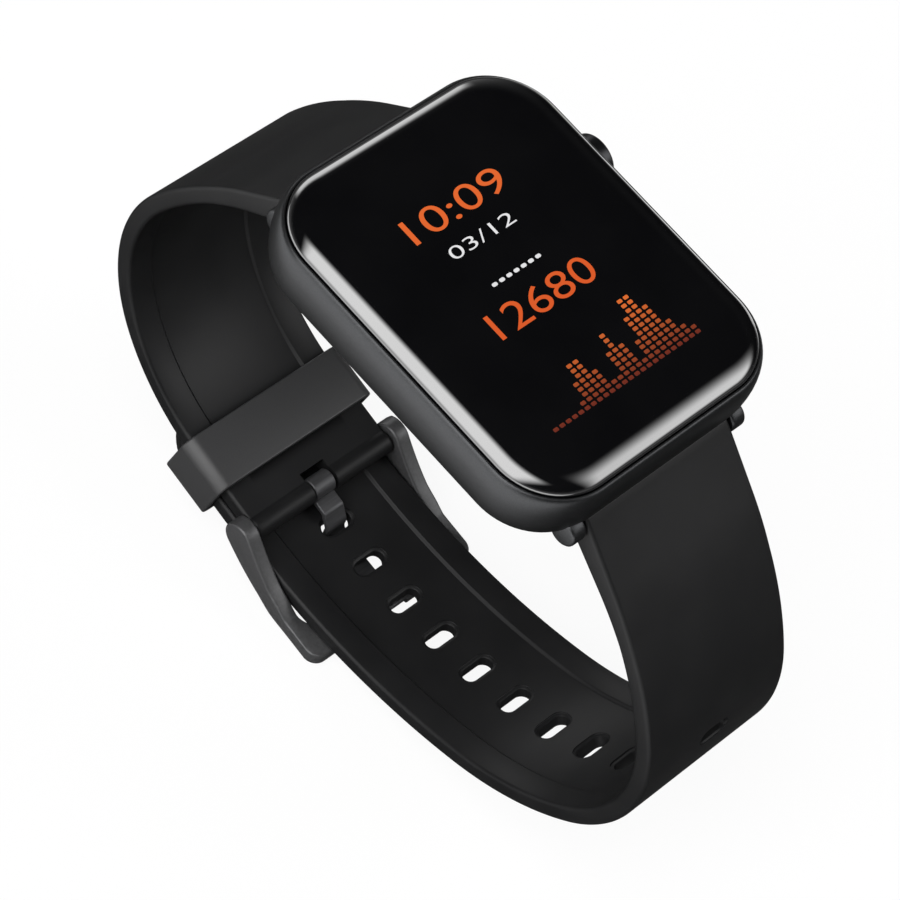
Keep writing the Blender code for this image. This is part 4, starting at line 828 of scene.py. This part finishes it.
def square_to(way, side):
    """The normal of a direction in (y, z) that points to one side."""
    normal = Vector((-way.y, way.x)).normalized()
    return normal if normal.dot(side) > 0 else -normal


middle, forward, out = long_line.at(under_bar - FRONT_AHEAD)
front = middle + out * (SOLID_HALF + PLAY + BAR_HALF)
knee = front + forward * KNEE_BACK
line = interpolate_bezier(bar, (bar + 2 * knee) / 3, (front + 2 * knee) / 3, front, 33)
line = [Vector(p[:2]) for p in line]
heel = arm_half(0)
flat = []
start = (line[1] - line[0]).normalized()
for k in range(8, 0, -1):
    a = math.pi / 2 * k / 8
    half = max(heel * math.cos(a), 0.05 * MM)
    flat.append((line[0] - start * heel * math.sin(a), square_to(start, out), half))
for k, point in enumerate(line[:-1]):
    beyond = (point - front).dot(forward) - FRONT_HALF - INNER_TURN
    if beyond > 0:
        half = min(arm_half(k / 32), BAR_HALF + CORNER_SLOPE * beyond)
        flat.append((point, square_to(line[k + 1] - point, out), half))
arm = []
for point, normal, half in flat:
    edge = min(EDGE, 0.9 * half)
    arm.append((beside(ARM_IN, point), beside(ARM_OUT, point), beside(0, normal), -half, half, edge))
for k in range(9):
    a = math.pi / 2 * k / 8
    wanted = FRONT_HALF + INNER_TURN * (1 - math.sin(a))
    near = min(line, key=lambda point: abs((point - front).dot(forward) - wanted))
    far = front - forward * (FRONT_HALF - OUTER_TURN * (1 - math.sin(a)))
    near = beside(ARM_IN - INNER_TURN * (1 - math.cos(a)), near)
    far = beside(ARM_OUT - OUTER_TURN * (1 - math.cos(a)), far)
    arm.append((near, far, beside(0, out), -BAR_HALF, BAR_HALF, EDGE))
bed_low = BAR_HALF - BED_DEPTH
bed_steps = [(2.0, BAR_HALF), (1.88, BAR_HALF - 0.1 * MM), (1.75, bed_low + 0.1 * MM), (1.6, bed_low)]
for x, high in bed_steps:
    near, far = front + forward * FRONT_HALF, front - forward * FRONT_HALF
    arm.append((beside(x * MM, near), beside(x * MM, far), beside(0, out), -BAR_HALF, high, EDGE))
flip = Vector((-1, 1, 1))
other = [(near * flip, far * flip, *rest) for near, far, *rest in reversed(arm)]
buckle = put("buckle_loop", strip("buckle_loop", arm + other))
bore = round_bar("frame_bore", BUCKLE_BAR_BORE, PIVOT_SEAT, bar.x, bar.y)
cut(buckle, bore)
settle(buckle, coated)
drop(bore)
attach(buckle, "buckle")
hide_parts("buckle_frame")

bar_profile = [(-11.45, 0.5), (-11.3, 0.7), (11.3, 0.7), (11.45, 0.5)]
rows = turned([(x * MM, r * MM) for x, r in bar_profile], bar.x, bar.y, 32)
pivot = put("buckle_pivot", skin("buckle_pivot", rows))
settle(pivot, coated)
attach(pivot, "clasp")
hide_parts("buckle_bar")


# Tongue
# A stamped steel tongue, curled round the bar, bright enough to show against the strap.
# It dips through a slot of the holed half and lies in the bed of the frame's front bar.
TONGUE_X, TONGUE_HALF, TONGUE_EDGE = 1.4 * MM, 0.34 * MM, 0.14 * MM
TIP_RISE, TIP_AHEAD, SLOT_DIP, UNDER_TURN = 0.45 * MM, 0.8 * MM, 0.6 * MM, 2.1 * MM
slot_at, slot_way, slot_out = long_line.at(slot_hole)
tip = front + out * TIP_RISE - forward * TIP_AHEAD


def past_bar(along, outward):
    """A point that far from the bar, in millimetres along the strap and away from the wrist."""
    return bar + bar_along * along * MM + bar_outward * outward * MM


corner, ramp_end = past_bar(2.9, 0.72), past_bar(4.0, 1.9)
ramp = corner + (ramp_end - corner) * 0.2
shelf = past_bar(1.5, 0.72)
leave = interpolate_bezier(past_bar(0.5, 0.95), past_bar(0.9, 1.0), past_bar(1.1, 0.72), shelf, 9)
bend = interpolate_bezier(past_bar(2.65, 0.72), corner, corner, ramp, 7)
fall = interpolate_bezier(ramp, ramp_end, slot_at - slot_out * SLOT_DIP, slot_at, 11)
after = slot_at + slot_out * UNDER_TURN
lower = interpolate_bezier(slot_at, after, after - slot_way * UNDER_TURN, tip, 25)
line = [Vector(p[:2]) for p in leave + bend + fall[1:] + lower[1:]]
plate = []
last = len(line) - 1
for k, point in enumerate(line):
    way = line[min(k + 1, last)] - line[max(k - 1, 0)]
    normal = beside(0, Vector((-way.y, way.x)).normalized())
    sides = beside(-TONGUE_X, point), beside(TONGUE_X, point)
    plate.append((*sides, normal, -TONGUE_HALF, TONGUE_HALF, TONGUE_EDGE))
near, far, normal, *_ = plate[-1]
reach = (line[-1] - line[-2]).normalized() * TONGUE_HALF
for k in range(1, 7):
    a = math.pi / 2 * k / 6
    half = max(TONGUE_HALF * math.cos(a), 0.03 * MM)
    ahead = beside(0, reach * math.sin(a))
    plate.append((near + ahead, far + ahead, normal, -half, half, min(TONGUE_EDGE, 0.9 * half)))
barrel = [(-1.4, 0.76), (-1.4, 1.2), (-1.3, 1.3), (1.3, 1.3), (1.4, 1.2), (1.4, 0.76)]
curl = turned([(x * MM, r * MM) for x, r in barrel], bar.x, bar.y, 48)
both = bmesh.new()
both.from_mesh(strip("tongue_plate", plate))
both.from_mesh(skin("tongue_curl", curl, ring=True))
tongue_mesh = bpy.data.meshes.new("buckle_tongue")
both.to_mesh(tongue_mesh)
both.free()
tongue = put("buckle_tongue", tongue_mesh)
tongue_metal = Finish("tongue_metal", (0.06, 0.06, 0.063), 0.45, metallic=0.5)
rub = tongue_metal.grain(0.3 * MM, 2.0, (0.15, 1.0, 1.0))
tongue_metal.mottle((0.054, 0.054, 0.057), (0.068, 0.068, 0.071), rub)
tongue_metal.set("Roughness", 0.38 + 0.14 * rub)
tongue_metal.relief(rub, 0.003 * MM)
settle(tongue, tongue_metal)
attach(tongue, "tongue")
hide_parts("tongue")


# Side button
# A turned aluminium cap on a stem, anodised like the case; the turning leaves fine rings on its face.
# It sits in a round recess of the case wall and is held from inside by a spring clip.
CAP_EDGE = 0.35
cap = [(12.6, 0.85), (13.65, 0.85), (13.65, 0.6), (14.0, 0.6), (14.0, 0.85), (17.1, 0.85)]
cap += [(17.1, 2.55), (17.25, 2.7)]
cap += [(18.75 + CAP_EDGE * math.sin(a), 2.35 + CAP_EDGE * math.cos(a)) for a in quarter[::2]]
cap += [(19.1, 1.8), (19.05, 1.6), (19.05, 0.1)]
rows = turned([(x * MM, r * MM) for x, r in cap], BUTTON_Y, BUTTON_Z)
button = put("button_cap", skin("button_cap", rows))
button_metal = Finish("side_button", (0.03, 0.03, 0.032), 0.34, metallic=0.8)
to_axis = {"Location": (0, -BUTTON_Y, -BUTTON_Z), "Scale": (0, 1, 1)}
centred = button_metal.base.node("ShaderNodeMapping", {}, {"Vector": button_metal.place, **to_axis})
wave = {"wave_type": "RINGS", "rings_direction": "SPHERICAL"}
rings = button_metal.base.node("ShaderNodeTexWave", wave,
                               {"Vector": centred, "Scale": 1500.0, "Distortion": 0.4}, "Fac")
button_metal.mottle((0.027, 0.027, 0.029), (0.035, 0.035, 0.037), rings)
button_metal.set("Roughness", 0.28 + 0.1 * rings)
button_metal.relief(rings, 0.002 * MM)
settle(button, button_metal)
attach(button, "button")
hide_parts("side_button")


# Studio
# A pale floor in a dark room with large soft panels at the left, at 6 o'clock and at 12 o'clock.
# The panels are part of the room, so that they fade out softly in the glass; the camera sees white.
# Glossy faces see the floor as a painted reflection: dark, with painted bright patches at the left and at
# the right.
# The first three values set the painted reflection that glossy faces see in the floor.
LEFT_PAINTED_REFLECTION, RIGHT_PAINTED_REFLECTION, DARK_PAINTED_REFLECTION = 2.6, 1.2, 0.04
WALL_LIGHT, DARK_ROOM, LEFT_LIGHT, SIX_LIGHT, TWELVE_LIGHT = 0.34, 0.006, 4.8, 4.0, 2.8
KEY_AWAY, KEY_POWER = 0.7, 0.32
floor_z = cad_box[0].z - 0.02 * MM
floor_mesh = bpy.data.meshes.new("floor")
reach = 3.0
corners = [(-reach, -reach), (reach, -reach), (reach, reach), (-reach, reach)]
floor_mesh.from_pydata([(x, y, floor_z) for x, y in corners], [], [(0, 1, 2, 3)])
pale = Finish("pale_floor", (0.9, 0.9, 0.9), 0.7)
sight = pale.base.node("ShaderNodeLightPath", {}, {}, "Is Camera Ray")
glint = pale.base.node("ShaderNodeLightPath", {}, {}, "Is Glossy Ray")
across = {"Vector": pale.place}
floor_x, floor_y = [pale.base.node("ShaderNodeSeparateXYZ", {}, across, axis) for axis in "XY"]
# Painted reflection: bright patches at the left and at the right of a dark floor, seen only by glossy
# rays.
left_reflection_patch = LEFT_PAINTED_REFLECTION * fade(floor_x, -25 * MM, -95 * MM)
right_reflection_patch = RIGHT_PAINTED_REFLECTION * fade(floor_x, 60 * MM, 110 * MM) * fade(floor_y, -50 * MM, 0 * MM)
right_reflection_patch = right_reflection_patch * fade(floor_y, 95 * MM, 55 * MM)
painted_floor_reflection = DARK_PAINTED_REFLECTION + left_reflection_patch + right_reflection_patch
painted_reflection_glow = pale.base.node("ShaderNodeEmission", {}, {"Color": painted_floor_reflection, "Strength": 1.0})
white_glow = pale.base.node("ShaderNodeEmission", {}, {"Color": (1.0, 1.0, 1.0, 1.0), "Strength": 1.0})
lit_floor = Value(pale.tree, pale.shader.outputs[0])
# Glossy rays see the painted reflection in place of the lit floor.
mirrored = pale.base.node("ShaderNodeMixShader", {}, {0: 0.95 * glint, 1: lit_floor, 2: painted_reflection_glow})
shown = pale.base.node("ShaderNodeMixShader", {}, {0: 0.92 * sight, 1: mirrored, 2: white_glow})
pale.tree.links.new(shown.socket, pale.tree.nodes["Material Output"].inputs["Surface"])
floor = put("floor", floor_mesh, pale)

world = bpy.data.worlds.new("studio")
bpy.context.scene.world = world
world.use_nodes = True
air = Value(world.node_tree)
backdrop = world.node_tree.nodes["Background"]
ray = air.node("ShaderNodeTexCoord", {}, {}, "Generated")
east, north, height = [air.node("ShaderNodeSeparateXYZ", {}, {"Vector": ray}, axis) for axis in "XYZ"]

walls = DARK_ROOM + WALL_LIGHT * fade(height, 0.6, 0.0) * fade(east, 0.95, 0.6)
left_panel = fade(east, 0.0, -0.22) * fade(north, -0.45, -0.1) * fade(north, 0.52, 0.3)
left_panel = left_panel * (0.35 + 0.65 * fade(height, 0.1, 0.6))
six_panel = fade(north, -0.12, -0.5) * fade(east, 0.2, 0.6) * fade(east, 0.95, 0.75)
six_panel = six_panel * fade(height, 0.25, 0.5)
twelve_panel = fade(north, 0.6, 0.8) * fade(east, 0.1, 0.3) * fade(east, 0.68, 0.55)
twelve_panel = twelve_panel * fade(height, 0.1, 0.2) * fade(height, 0.5, 0.35)
room = walls + LEFT_LIGHT * left_panel + SIX_LIGHT * six_panel + TWELVE_LIGHT * twelve_panel
seen = air.node("ShaderNodeLightPath", {}, {}, "Is Camera Ray")
view = air.node("ShaderNodeMix", {"data_type": "FLOAT"}, {0: seen, 2: room, 3: 1.0})
world.node_tree.links.new(view.socket, backdrop.inputs["Color"])
backdrop.inputs["Strength"].default_value = 1.0

lamp = bpy.data.lights.new("key_box", "AREA")
lamp.shape, lamp.size, lamp.size_y, lamp.energy = "RECTANGLE", 0.2, 0.3, KEY_POWER
key = bpy.data.objects.new("key_box", lamp)
bpy.context.scene.collection.objects.link(key)
key_way = Vector((-0.5, 0.05, 0.86))
key.location = key_way * KEY_AWAY
key.visible_glossy = False
key.rotation_euler = key_way.to_track_quat("Z", "Y").to_euler()

camera = bpy.data.cameras.new("camera")
camera.sensor_width, camera.lens = 36.0, 154.64
camera.clip_start, camera.clip_end = 0.01, 20.0
eye = bpy.data.objects.new("camera", camera)
bpy.context.scene.collection.objects.link(eye)
right, up = Vector((0.7065, -0.6593, 0.2571)), Vector((0.4837, 0.7151, 0.5047))
back = Vector((-0.5166, -0.2322, 0.8241))
turn = Matrix((right, up, back)).transposed().to_4x4()
eye.matrix_world = Matrix.Translation((-0.2032, -0.0924, 0.3027)) @ turn
bpy.context.scene.camera = eye
bpy.context.scene.view_settings.view_transform = "Standard"
